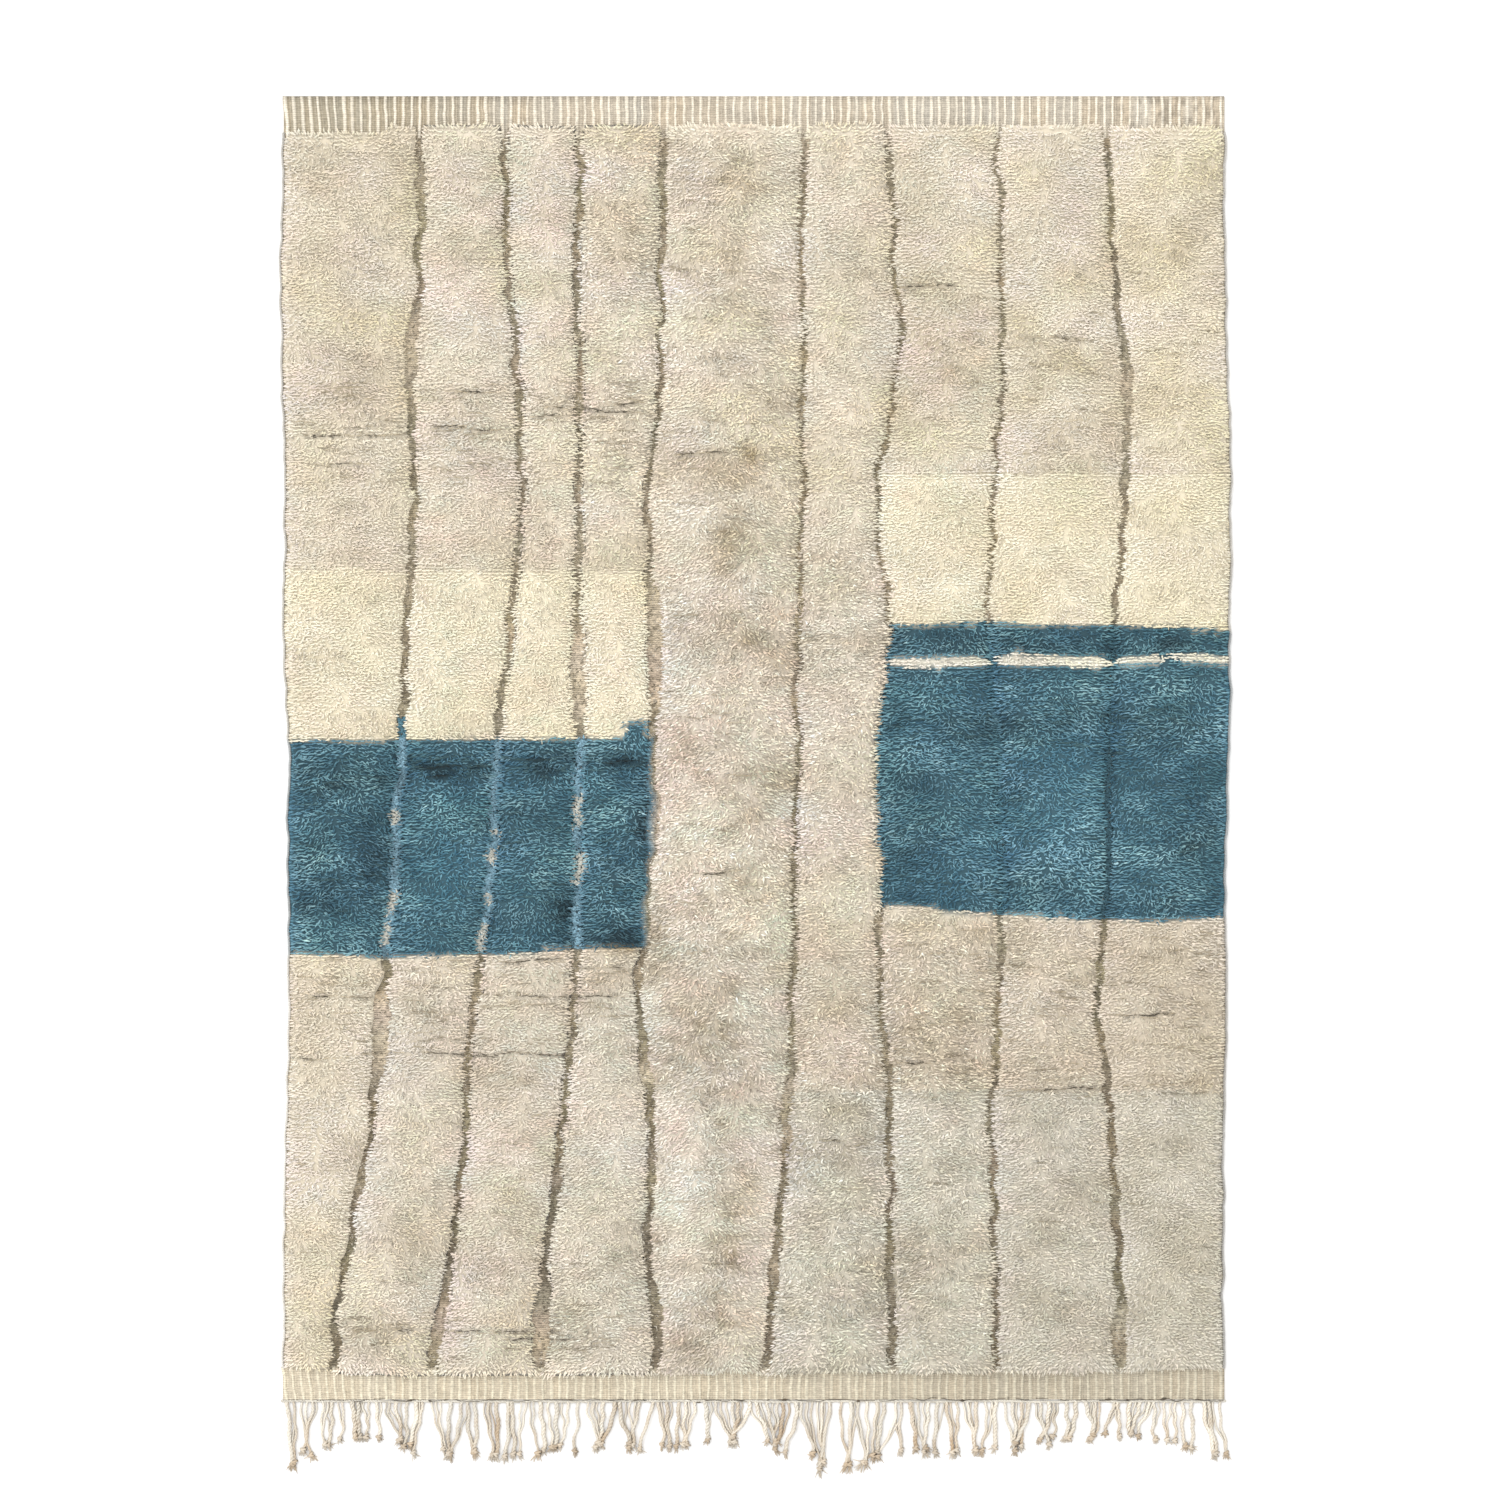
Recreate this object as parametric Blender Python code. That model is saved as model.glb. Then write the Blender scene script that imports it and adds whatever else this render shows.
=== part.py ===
"""Hand-knotted wool rug lying flat: one woven body with its pile, and its knotted warp fringe.

Metres, +Z up, floor at z = 0. X runs across the rug and Y along its warps, with the
fringed end at -Y. The origin is the middle of the whole outline, at floor level.

The woven body is one piece: a thick pile field, parted by eight unknotted furrows that run
the rug's whole length, with a flat-woven ribbed band at each end. The fringe is the warp
ends below the lower band: a narrow twined strip with a row of knotted strands.
"""

import math
import random

import bmesh
import bpy
from mathutils import Vector, noise

# Outline, from the upper hem down to the tips of the longest strands.
RUG_LENGTH = 2.765
BAND_LENGTH = 0.064
FRINGE_REACH = 0.163
TOTAL_LENGTH = RUG_LENGTH + FRINGE_REACH
UPPER_HEM_Y = TOTAL_LENGTH / 2
LOWER_HEM_Y = UPPER_HEM_Y - RUG_LENGTH
FIELD_TOP_Y = UPPER_HEM_Y - BAND_LENGTH
FIELD_END_Y = LOWER_HEM_Y + BAND_LENGTH
FIELD_LENGTH = FIELD_TOP_Y - FIELD_END_Y

# Heights above the floor.
FURROW_FLOOR = 0.0080
PILE_TOP = 0.0240
LUMP_RISE = 0.0034
LUMP_PITCH = 0.110
SHOULDER_DROP = 0.0035
SHOULDER_INSET = 0.011

# Where each lengthwise line of the field lies, in millimetres from the rug's middle. Each row
# has one column for every tenth of the field's length, from the upper band to the lower one.
LINES_MM = {
    "left_edge": (-1003, -1011, -1007, -1001, -1005, -994, -995, -993, -999, -1003, -1005),
    "furrow_1": (-711, -713, -730, -727, -740, -755, -770, -793, -817, -867, -901),
    "furrow_2": (-530, -528, -507, -498, -522, -549, -562, -598, -619, -643, -685),
    "furrow_3": (-369, -382, -373, -375, -378, -373, -378, -386, -409, -443, -458),
    "furrow_4": (-195, -199, -204, -229, -216, -216, -225, -248, -223, -225, -210),
    "furrow_5": (102, 95, 102, 98, 93, 91, 83, 78, 66, 45, 21),
    "furrow_6": (280, 293, 303, 252, 284, 255, 263, 263, 286, 282, 293),
    "furrow_7": (511, 520, 520, 503, 496, 515, 524, 515, 501, 507, 513),
    "furrow_8": (744, 757, 785, 781, 764, 747, 749, 728, 753, 770, 772),
    "right_edge": (995, 997, 1003, 1010, 1007, 1005, 997, 1001, 995, 993, 995),
}
LINES = tuple(LINES_MM)
DRIFT = 0.006
DRIFT_PITCH = 0.130

# Furrow breadth, and the stretches where a furrow opens wider:
# (furrow, its middle's y, half its length, breadth).
FURROW_HALF = 0.0065
HALF_DRIFT = 0.0020
OPEN_STRETCHES = (
    ("furrow_1", 0.93, 0.12, 0.024),
    ("furrow_1", -0.52, 0.13, 0.033),
    ("furrow_2", -1.16, 0.10, 0.024),
    ("furrow_3", 0.24, 0.15, 0.030),
    ("furrow_3", -1.14, 0.11, 0.034),
    ("furrow_4", 0.31, 0.18, 0.032),
    ("furrow_4", -0.07, 0.09, 0.022),
    ("furrow_5", -0.66, 0.12, 0.021),
    ("furrow_8", 0.86, 0.12, 0.027),
    ("furrow_8", -1.16, 0.09, 0.029),
)

# Mesh density of the pile field.
WIDE_PANEL = 0.215
FIELD_ROWS = 31

# Flat-woven bands: narrow raised ribs on a thinner ground.
BAND_GROUND = 0.0045
RIB_CREST = 0.0072
RIB_PITCH = 0.0176
RIB_FOOT_SHARE = 0.22
BAND_OVERLAP = 0.006

# Locks of wool that hang over the rim of the pile, out to the side edges of the outline.
RIM_INSET = 0.006
LOCK_STEP_SIDE = 0.060
LOCK_STEP_END = 0.082
LOCK_RADIUS = 0.0070
LOCK_LENGTH = 0.025
LOCK_INSET_SIDE = 0.0225
LOCK_INSET_END = 0.0180
LOCK_Z = 0.0145
LOCK_DROOP_SIDE = 16.0
LOCK_DROOP_END = 3.0
LOCK_SWING = 22.0

# Fringe: lengths are in millimetres, at thirteen even steps from the left edge to the right.
STRAND_COUNT = 96
STRAND_HALF = 0.0032
FRINGE_LENGTHS_MM = (160, 92, 136, 134, 120, 122, 101, 170, 130, 128, 99, 95, 140)
STRIP_DEPTH = 0.009
STRIP_HEIGHT = 0.0062
STRIP_GAP = 0.0003
ROOT_DEPTH = 0.004
GATHER = 0.019
GATHER_PITCH = 0.17
BOW = 0.006
BOW_PITCH = 0.20
# Down a strand: (share of its length, breadth as a share of the plain strand's).
STRAND_SECTIONS = ((0.0, 1.0), (0.27, 1.0), (0.54, 1.0), (0.78, 0.9), (0.87, 1.55), (1.0, 0.5))

SEED = 11


def clear_scene():
    for obj in list(bpy.data.objects):
        bpy.data.objects.remove(obj)


def new_collection(name):
    made = bpy.data.collections.new(name)
    bpy.context.scene.collection.children.link(made)
    return made


def new_material(name, colour, roughness):
    """A Principled finish with a plain colour."""
    made = bpy.data.materials.new(name)
    made.use_nodes = True
    shader = made.node_tree.nodes["Principled BSDF"]
    shader.inputs["Base Color"].default_value = (*colour, 1.0)
    shader.inputs["Roughness"].default_value = roughness
    shader.inputs["Metallic"].default_value = 0.0
    return made


def move_to(obj, collection):
    for home in list(obj.users_collection):
        home.objects.unlink(obj)
    collection.objects.link(obj)


def mesh_object(name, shape):
    """A new object in the scene that holds the bmesh, which is freed."""
    mesh = bpy.data.meshes.new(name)
    shape.to_mesh(mesh)
    shape.free()
    obj = bpy.data.objects.new(name, mesh)
    bpy.context.scene.collection.objects.link(obj)
    return obj


def curve_through(values, share):
    """A smooth value at a share, from 0 to 1, of the way through evenly spaced values."""
    last = len(values) - 1
    at = min(max(share, 0.0), 1.0) * last
    low = min(int(at), last - 1)
    t = at - low
    before, start, end, after = (values[min(max(low + k, 0), last)] for k in (-1, 0, 1, 2))
    rise = (end - before) / 2
    leave = (after - start) / 2
    bend = 2 * (start - end) + rise + leave
    return start + t * (rise + t * (3 * (end - start) - 2 * rise - leave + t * bend))


def line_x(line, y):
    """Where a lengthwise line of the field lies at y, with the small drift of hand knotting."""
    place = curve_through(LINES_MM[line], (FIELD_TOP_Y - y) / FIELD_LENGTH) / 1000
    drift = noise.noise(Vector((y / DRIFT_PITCH, 5.0 * LINES.index(line), 0.0)))
    return place + DRIFT * drift * (0.4 if "edge" in line else 1.0)


def edge_span(station):
    """The left and right x of the rug's edges at one end: station 0 is the upper, -1 the lower."""
    return LINES_MM["left_edge"][station] / 1000, LINES_MM["right_edge"][station] / 1000


def furrow_half(line, y):
    """Half of a furrow's breadth at y."""
    drift = noise.noise(Vector((y / DRIFT_PITCH, 5.0 * LINES.index(line), 9.0)))
    half = FURROW_HALF + HALF_DRIFT * drift
    for furrow, middle, reach, breadth in OPEN_STRETCHES:
        off = abs(y - middle) / reach
        if furrow == line and off < 1.0:
            half = max(half, half + (breadth / 2 - half) * math.cos(off * math.pi / 2))
    return half


def pile_z(x, y):
    """Height of the pile's lumpy top."""
    lump = noise.noise(Vector((x / LUMP_PITCH, y / LUMP_PITCH, 3.0)))
    return PILE_TOP + LUMP_RISE * lump


def panel_columns():
    """(panel, share across it, end) of each column of points; end is foot, shoulder or none."""
    columns = []
    for panel in range(len(LINES) - 1):
        breadth = LINES_MM[LINES[panel + 1]][5] - LINES_MM[LINES[panel]][5]
        inner = 3 if breadth / 1000 > WIDE_PANEL else 2
        columns += [(panel, 0.0, "foot"), (panel, 0.0, "shoulder")]
        columns += [(panel, (k + 1) / (inner + 1), "none") for k in range(inner)]
        columns += [(panel, 1.0, "shoulder"), (panel, 1.0, "foot")]
    return columns


def field_rows():
    """(y, end) of each row of points, from the lower band to the upper one."""
    low, high = FIELD_END_Y + SHOULDER_INSET, FIELD_TOP_Y - SHOULDER_INSET
    inner = [(low + (high - low) * k / FIELD_ROWS, "none") for k in range(1, FIELD_ROWS)]
    return [
        (FIELD_END_Y, "foot"),
        (low, "shoulder"),
        *inner,
        (high, "shoulder"),
        (FIELD_TOP_Y, "foot"),
    ]


def field_point(column, row):
    """Place of one point of the pile field's top."""
    panel, share, side = column
    y, end = row
    left, right = LINES[panel], LINES[panel + 1]
    start = line_x(left, y) + (furrow_half(left, y) if "furrow" in left else RIM_INSET)
    stop = line_x(right, y) - (furrow_half(right, y) if "furrow" in right else RIM_INSET)
    inset = 0.0 if side == "foot" else SHOULDER_INSET
    x = start + inset + share * (stop - start - 2 * inset)
    if "foot" in (side, end):
        return Vector((x, y, FURROW_FLOOR))
    drop = SHOULDER_DROP if "shoulder" in (side, end) else 0.0
    return Vector((x, y, pile_z(x, y) - drop))


def stand_on_floor(mesh):
    """Drops walls from an open surface's rim to the floor and closes the underside."""
    shape = bmesh.new()
    shape.from_mesh(mesh)
    rim = [edge for edge in shape.edges if edge.is_boundary]
    walls = bmesh.ops.extrude_edge_only(shape, edges=rim)["geom"]
    for point in (item for item in walls if isinstance(item, bmesh.types.BMVert)):
        point.co.z = 0.0
    bmesh.ops.holes_fill(shape, edges=[edge for edge in shape.edges if edge.is_boundary])
    bmesh.ops.recalc_face_normals(shape, faces=shape.faces)
    shape.to_mesh(mesh)
    shape.free()


def surface(name, columns, rows, place):
    """A grid whose points are moved to place(column, row), stood on the floor as a solid."""
    bpy.ops.mesh.primitive_grid_add(
        x_subdivisions=len(columns) - 1, y_subdivisions=len(rows) - 1, size=1.0
    )
    obj = bpy.context.object
    obj.name = name
    for vertex in obj.data.vertices:
        column = round((vertex.co.x + 0.5) * (len(columns) - 1))
        row = round((vertex.co.y + 0.5) * (len(rows) - 1))
        vertex.co = place(columns[column], rows[row])
    stand_on_floor(obj.data)
    return obj


def rib_profile(left, right):
    """(x, z) around a band's cross-section: a flat underside, and narrow ribs on flat ground."""
    count = round((right - left) / RIB_PITCH)
    pitch = (right - left) / count
    foot = RIB_FOOT_SHARE * pitch
    profile = [(left, BAND_GROUND)]
    for rib in range(count):
        crest = left + (rib + 0.5) * pitch
        profile += [(crest - foot, BAND_GROUND), (crest, RIB_CREST), (crest + foot, BAND_GROUND)]
    return [*profile, (right, BAND_GROUND), (right, 0.0), (left, 0.0)]


def band(name, station, low_y, high_y):
    """A flat-woven ribbed band, as wide as the field is at that station."""
    left, right = edge_span(station)
    shape = bmesh.new()
    end = shape.faces.new([shape.verts.new((x, low_y, z)) for x, z in rib_profile(left, right)])
    drawn = bmesh.ops.extrude_face_region(shape, geom=[end])["geom"]
    for point in (item for item in drawn if isinstance(item, bmesh.types.BMVert)):
        point.co.y = high_y
    bmesh.ops.recalc_face_normals(shape, faces=shape.faces)
    return mesh_object(name, shape)


def add_lock(shape, root, heading, droop):
    """One four-sided tapering lock from its root, along a heading, drooping by some degrees."""
    fall = math.radians(droop)
    way = Vector(
        (math.cos(heading) * math.cos(fall), math.sin(heading) * math.cos(fall), -math.sin(fall))
    )
    turn = way.to_track_quat("Z", "Y").to_matrix().to_4x4()
    turn.translation = root + way * LOCK_LENGTH / 2
    bmesh.ops.create_cone(
        shape,
        cap_ends=True,
        segments=4,
        radius1=LOCK_RADIUS,
        radius2=LOCK_RADIUS * 0.12,
        depth=LOCK_LENGTH,
        matrix=turn,
    )


def near_furrow(x, y):
    """Whether a lock rooted at x, y would hang into a furrow."""
    furrows = [line for line in LINES if "furrow" in line]
    return any(abs(x - line_x(line, y)) < furrow_half(line, y) + 0.02 for line in furrows)


def rim_locks(rng):
    """The locks along the rim of the pile, as one mesh of separate closed locks."""
    shape = bmesh.new()
    swing = math.radians(LOCK_SWING)
    per_side = int(FIELD_LENGTH / LOCK_STEP_SIDE) - 1
    for line, outward in (("left_edge", math.pi), ("right_edge", 0.0)):
        inward = -math.cos(outward) * LOCK_INSET_SIDE
        for k in range(per_side):
            y = FIELD_END_Y + (k + 1) * FIELD_LENGTH / (per_side + 1)
            root = Vector((line_x(line, y) + inward, y, LOCK_Z))
            add_lock(shape, root, outward + rng.uniform(-swing, swing), LOCK_DROOP_SIDE)
    per_end = int((line_x("right_edge", 0.0) - line_x("left_edge", 0.0)) / LOCK_STEP_END) - 1
    for edge_y, outward in ((FIELD_TOP_Y, math.pi / 2), (FIELD_END_Y, -math.pi / 2)):
        y = edge_y - math.sin(outward) * LOCK_INSET_END
        for k in range(per_end):
            x = line_x("left_edge", y) + (k + 1) * LOCK_STEP_END
            if not near_furrow(x, y):
                heading = outward + rng.uniform(-swing, swing)
                add_lock(shape, Vector((x, y, LOCK_Z)), heading, LOCK_DROOP_END)
    return mesh_object("rim_locks", shape)


def join_to(obj, others, helpers):
    """Unites the helper solids with obj by one Boolean, and hides them."""
    for other in others:
        move_to(other, helpers)
        other.hide_render = True
        other.display_type = "WIRE"
    joint = obj.modifiers.new("joined", "BOOLEAN")
    joint.operation = "UNION"
    joint.solver = "EXACT"
    joint.operand_type = "COLLECTION"
    joint.collection = helpers


def woven_body(parts, wool):
    """The rug itself: pile field, both ribbed bands and the locks at its rim, as one solid."""
    field = surface("knotted_rug", panel_columns(), field_rows(), field_point)
    bands = [
        band("upper_band", 0, FIELD_TOP_Y - BAND_OVERLAP, UPPER_HEM_Y),
        band("lower_band", -1, LOWER_HEM_Y, FIELD_END_Y + BAND_OVERLAP),
    ]
    locks = rim_locks(random.Random(SEED))
    move_to(field, parts)
    join_to(field, [*bands, locks], new_collection("rug_pieces_joined"))
    field.data.materials.append(wool)
    return field


def strand_sections(index, rng):
    """(x, y, half breadth) down one strand, from its root inside the strip to its frayed tip."""
    across = (index + 0.5) / STRAND_COUNT
    left, right = edge_span(-1)
    root_x = left + across * (right - left)
    root_y = LOWER_HEM_Y - STRIP_GAP - STRIP_DEPTH + ROOT_DEPTH
    reach = curve_through(FRINGE_LENGTHS_MM, across) / 1000 * rng.uniform(0.93, 1.0)
    fall = reach - STRIP_DEPTH + ROOT_DEPTH
    gather = GATHER * noise.noise(Vector((root_x / GATHER_PITCH, 4.0, 0.0)))
    sections = []
    for share, breadth in STRAND_SECTIONS:
        bow = BOW * share * noise.noise(Vector((root_x / BOW_PITCH, share * 2.2, 8.0)))
        sections.append(
            (root_x + gather * share**1.4 + bow, root_y - share * fall, STRAND_HALF * breadth)
        )
    return sections


def add_strand(shape, sections):
    """One closed strand of four sides, lying flat on the floor."""
    rings = []
    for x, y, half in sections:
        corners = ((-half, 0.0), (half, 0.0), (half * 0.6, half * 1.9), (-half * 0.6, half * 1.9))
        rings.append([shape.verts.new((x + across, y, high)) for across, high in corners])
    for near, far in zip(rings, rings[1:]):
        for k in range(4):
            after = (k + 1) % 4
            shape.faces.new((near[k], near[after], far[after], far[k]))
    shape.faces.new(reversed(rings[0]))
    shape.faces.new(rings[-1])


def strands(rng):
    """Every strand of the fringe, as one mesh of separate closed strands."""
    shape = bmesh.new()
    for index in range(STRAND_COUNT):
        add_strand(shape, strand_sections(index, rng))
    bmesh.ops.recalc_face_normals(shape, faces=shape.faces)
    return mesh_object("strands", shape)


def warp_fringe(parts, wool):
    """The twined strip along the lower hem, with its strands fused to it."""
    left, right = edge_span(-1)
    bpy.ops.mesh.primitive_cube_add(size=1.0)
    strip = bpy.context.object
    strip.name = "warp_fringe"
    strip.scale = (right - left, STRIP_DEPTH, STRIP_HEIGHT)
    strip.location = (
        (left + right) / 2,
        LOWER_HEM_Y - STRIP_GAP - STRIP_DEPTH / 2,
        STRIP_HEIGHT / 2,
    )
    bpy.ops.object.transform_apply(location=False, rotation=False, scale=True)
    move_to(strip, parts)
    join_to(strip, [strands(random.Random(SEED + 1))], new_collection("fringe_pieces_joined"))
    strip.data.materials.append(wool)
    return strip


def main():
    clear_scene()
    parts = new_collection("rug")
    woven_body(parts, new_material("cream_wool_pile", (0.70, 0.62, 0.50), 0.95))
    warp_fringe(parts, new_material("warp_yarn", (0.74, 0.65, 0.53), 0.90))


main()
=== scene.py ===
"""Looks of a thick hand-knotted wool rug lying flat, seen square on from above.

The rug is a ground weave with flat-woven ribbed ends, nine panels of leaning wool tufts that
are parted by wandering furrows, a twined hem and a fringe of knotted warp yarns. Everything is
in metres, +Z up, with the fringe at -Y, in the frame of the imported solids.
"""

import logging
import math
from dataclasses import dataclass, field
from enum import IntEnum

import bpy
import numpy as np
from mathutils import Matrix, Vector, noise

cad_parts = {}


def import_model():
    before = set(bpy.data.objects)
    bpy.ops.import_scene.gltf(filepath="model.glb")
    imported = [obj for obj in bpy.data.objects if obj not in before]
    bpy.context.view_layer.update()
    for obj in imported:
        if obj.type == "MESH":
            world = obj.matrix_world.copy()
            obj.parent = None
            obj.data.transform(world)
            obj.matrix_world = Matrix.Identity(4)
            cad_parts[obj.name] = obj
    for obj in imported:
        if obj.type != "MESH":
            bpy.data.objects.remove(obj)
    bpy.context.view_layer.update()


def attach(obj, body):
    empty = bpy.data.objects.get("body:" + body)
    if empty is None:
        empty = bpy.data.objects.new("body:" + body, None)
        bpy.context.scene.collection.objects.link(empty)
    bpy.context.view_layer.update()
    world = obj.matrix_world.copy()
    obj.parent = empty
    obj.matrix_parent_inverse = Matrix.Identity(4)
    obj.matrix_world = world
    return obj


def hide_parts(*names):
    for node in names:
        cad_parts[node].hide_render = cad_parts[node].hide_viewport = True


Array = np.ndarray
Triple = tuple[float, float, float]
Table = tuple[tuple[float, ...], ...]
Piece = bpy.types.Object
Finish = bpy.types.Material
Source = np.random.Generator

LOG = logging.getLogger("rug")
BODY = "root"
BAKE_MAP = "OFBake"
YARN_ATTRIBUTE = "yarn"
# Values along each side of a drift's lattice, before it repeats.
LATTICE = 256
# The palest that a yarn may be, in linear light.
PALEST = 0.95
UP = np.array([0.0, 0.0, 1.0])


class Seed(IntEnum):
    """Where each part's unevenness starts."""

    FRINGE = 12
    KNOTS = 100
    BANDS = 110
    FEET = 140
    CRACKS = 160
    WISPS = 200


# ---- small tools


def linear(red: int, green: int, blue: int) -> Triple:
    """Turn a colour on the usual 0 to 255 scale into linear light, from 0 to 1."""
    shares = (red / 255, green / 255, blue / 255)
    return tuple(s / 12.92 if s <= 0.04045 else ((s + 0.055) / 1.055) ** 2.4 for s in shares)


def ramp(values: Array, low: float, high: float) -> Array:
    """Rise smoothly from 0, where the values are low, to 1, where they are high."""
    share = np.clip((values - low) / (high - low), 0.0, 1.0)
    return share * share * (3.0 - 2.0 * share)


def wander(x: Array, y: Array, pitch_x: float, pitch_y: float, seed: int) -> Array:
    """Smooth random drift over the rug, from about -1 to 1.

    Args:
        x: Places across the rug.
        y: Places along the rug.
        pitch_x: Size of a patch across the rug.
        pitch_y: Size of a patch along the rug.
        seed: Which drift to read.

    Returns:
        The drift at each place.
    """
    lattice = np.random.default_rng(seed).uniform(-1.0, 1.0, (LATTICE, LATTICE))
    across, along = np.asarray(x) / pitch_x + 97.3, np.asarray(y) / pitch_y + 41.7
    col, row = np.floor(across).astype(int), np.floor(along).astype(int)
    s, t = across - col, along - row
    s, t = s * s * (3.0 - 2.0 * s), t * t * (3.0 - 2.0 * t)
    near, far = col % LATTICE, (col + 1) % LATTICE
    low, high = row % LATTICE, (row + 1) % LATTICE
    bottom = lattice[near, low] * (1 - s) + lattice[far, low] * s
    top = lattice[near, high] * (1 - s) + lattice[far, high] * s
    return bottom * (1 - t) + top * t


def wander_along(places: Array, pitch: float, seed: int, lane: float = 0.0) -> Array:
    """Smooth random drift along a line, from about -1 to 1, read in one of its lanes."""
    return wander(places, places * 0 + lane, pitch, 1.0, seed)


def curve_through(values: Array, share: float) -> float:
    """Read a smooth curve through evenly spaced values.

    Args:
        values: The values that the curve passes through.
        share: How far along the curve, from 0 to 1.

    Returns:
        The value there.
    """
    last = len(values) - 1
    at = min(max(share, 0.0), 1.0) * last
    low = min(int(at), last - 1)
    t = at - low
    before, start, end, after = (values[min(max(low + k, 0), last)] for k in (-1, 0, 1, 2))
    rise = (end - before) / 2
    leave = (after - start) / 2
    bend = 2 * (start - end) + rise + leave
    return start + t * (rise + t * (3 * (end - start) - 2 * rise - leave + t * bend))


def select(*pieces: Piece) -> None:
    """Select these pieces alone and make the first of them the active one."""
    if bpy.context.object and bpy.context.object.mode != "OBJECT":
        bpy.ops.object.mode_set(mode="OBJECT")
    bpy.ops.object.select_all(action="DESELECT")
    for piece in pieces:
        piece.select_set(True)
    if pieces:
        bpy.context.view_layer.objects.active = pieces[0]


def read_all(items: bpy.types.bpy_prop_collection, name: str, width: int, kind: type) -> Array:
    """Read one property of every item of a mesh's list.

    Args:
        items: The mesh's points, corners or faces.
        name: The property.
        width: How many numbers each item has.
        kind: The numbers' type.

    Returns:
        The numbers, one row for each item where it has several.
    """
    found = np.empty(len(items) * width, kind)
    items.foreach_get(name, found)
    return found.reshape(-1, width) if width > 1 else found


def triangles_object(name: str, points: Array, corners: Array) -> Piece:
    """Make an object of triangles from arrays.

    Args:
        name: The object's name.
        points: One row of x, y and z for each point.
        corners: One row of three point numbers for each triangle.

    Returns:
        The new object, linked to the scene.
    """
    mesh = bpy.data.meshes.new(name)
    mesh.vertices.add(len(points))
    mesh.vertices.foreach_set("co", points.astype(np.float32).ravel())
    mesh.loops.add(corners.size)
    mesh.loops.foreach_set("vertex_index", corners.astype(np.int32).ravel())
    mesh.polygons.add(len(corners))
    mesh.polygons.foreach_set("loop_start", np.arange(len(corners), dtype=np.int32) * 3)
    mesh.update(calc_edges=True)
    made = bpy.data.objects.new(name, mesh)
    bpy.context.scene.collection.objects.link(made)
    return made


def set_yarn(obj: Piece, colours: Array, mottle: Array | float = 0.0) -> None:
    """Store the yarn's colour on the points of a piece.

    Args:
        obj: The piece.
        colours: One row of red, green and blue for each point.
        mottle: How strongly dust and painted ridge shade mottle the yarn, from 0 to 1, kept as the
            alpha.
    """
    layer = obj.data.color_attributes.new(YARN_ATTRIBUTE, "FLOAT_COLOR", "POINT")
    full = np.ones((len(colours), 4), np.float32)
    full[:, :3] = colours
    full[:, 3] = mottle
    layer.data.foreach_set("color", full.ravel())


def set_map(obj: Piece, places: Array) -> None:
    """Store a flat map of a piece's faces: one row of u and v for each corner."""
    layer = obj.data.uv_layers.new(name=BAKE_MAP)
    layer.uv.foreach_set("vector", places.astype(np.float32).ravel())


def points_of(obj: Piece) -> Array:
    """Return one row of x, y and z for each point of a piece."""
    return read_all(obj.data.vertices, "co", 3, np.float32).astype(float)


def grid_object(name: str, columns: int, rows: int) -> tuple[Piece, Array, Array]:
    """Add a flat grid to be shaped.

    Args:
        name: The object's name.
        columns: Points across.
        rows: Points along.

    Returns:
        The object, and the column and the row of each of its points.
    """
    select()
    bpy.ops.mesh.primitive_grid_add(x_subdivisions=columns - 1, y_subdivisions=rows - 1, size=1)
    made = bpy.context.object
    made.name = made.data.name = name
    place = points_of(made)
    column = np.rint((place[:, 0] + 0.5) * (columns - 1)).astype(int)
    row = np.rint((place[:, 1] + 0.5) * (rows - 1)).astype(int)
    return made, column, row


def move_points(obj: Piece, points: Array) -> None:
    """Move all points of a piece to new places."""
    obj.data.vertices.foreach_set("co", points.astype(np.float32).ravel())
    obj.data.update()


def join(name: str, pieces: list[Piece]) -> Piece:
    """Join objects into the first of them.

    Args:
        name: The joined piece's name.
        pieces: The objects.

    Returns:
        The joined piece.
    """
    select(*pieces)
    bpy.ops.object.join()
    made = bpy.context.object
    made.name = made.data.name = name
    return made


# ---- shader maths


class Value:
    """One output of a shader node, with arithmetic that adds Math nodes."""

    def __init__(self, book: "NodeBook", socket: bpy.types.NodeSocket) -> None:
        """Wrap a socket of a node in this book."""
        self.book = book
        self.socket = socket

    def __add__(self, other: "Value | float") -> "Value":
        """Add."""
        return self.book.maths("ADD", self, other)

    def __sub__(self, other: "Value | float") -> "Value":
        """Subtract other from this."""
        return self.book.maths("SUBTRACT", self, other)

    def __mul__(self, other: "Value | float") -> "Value":
        """Multiply."""
        return self.book.maths("MULTIPLY", self, other)

    __radd__ = __add__


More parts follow.
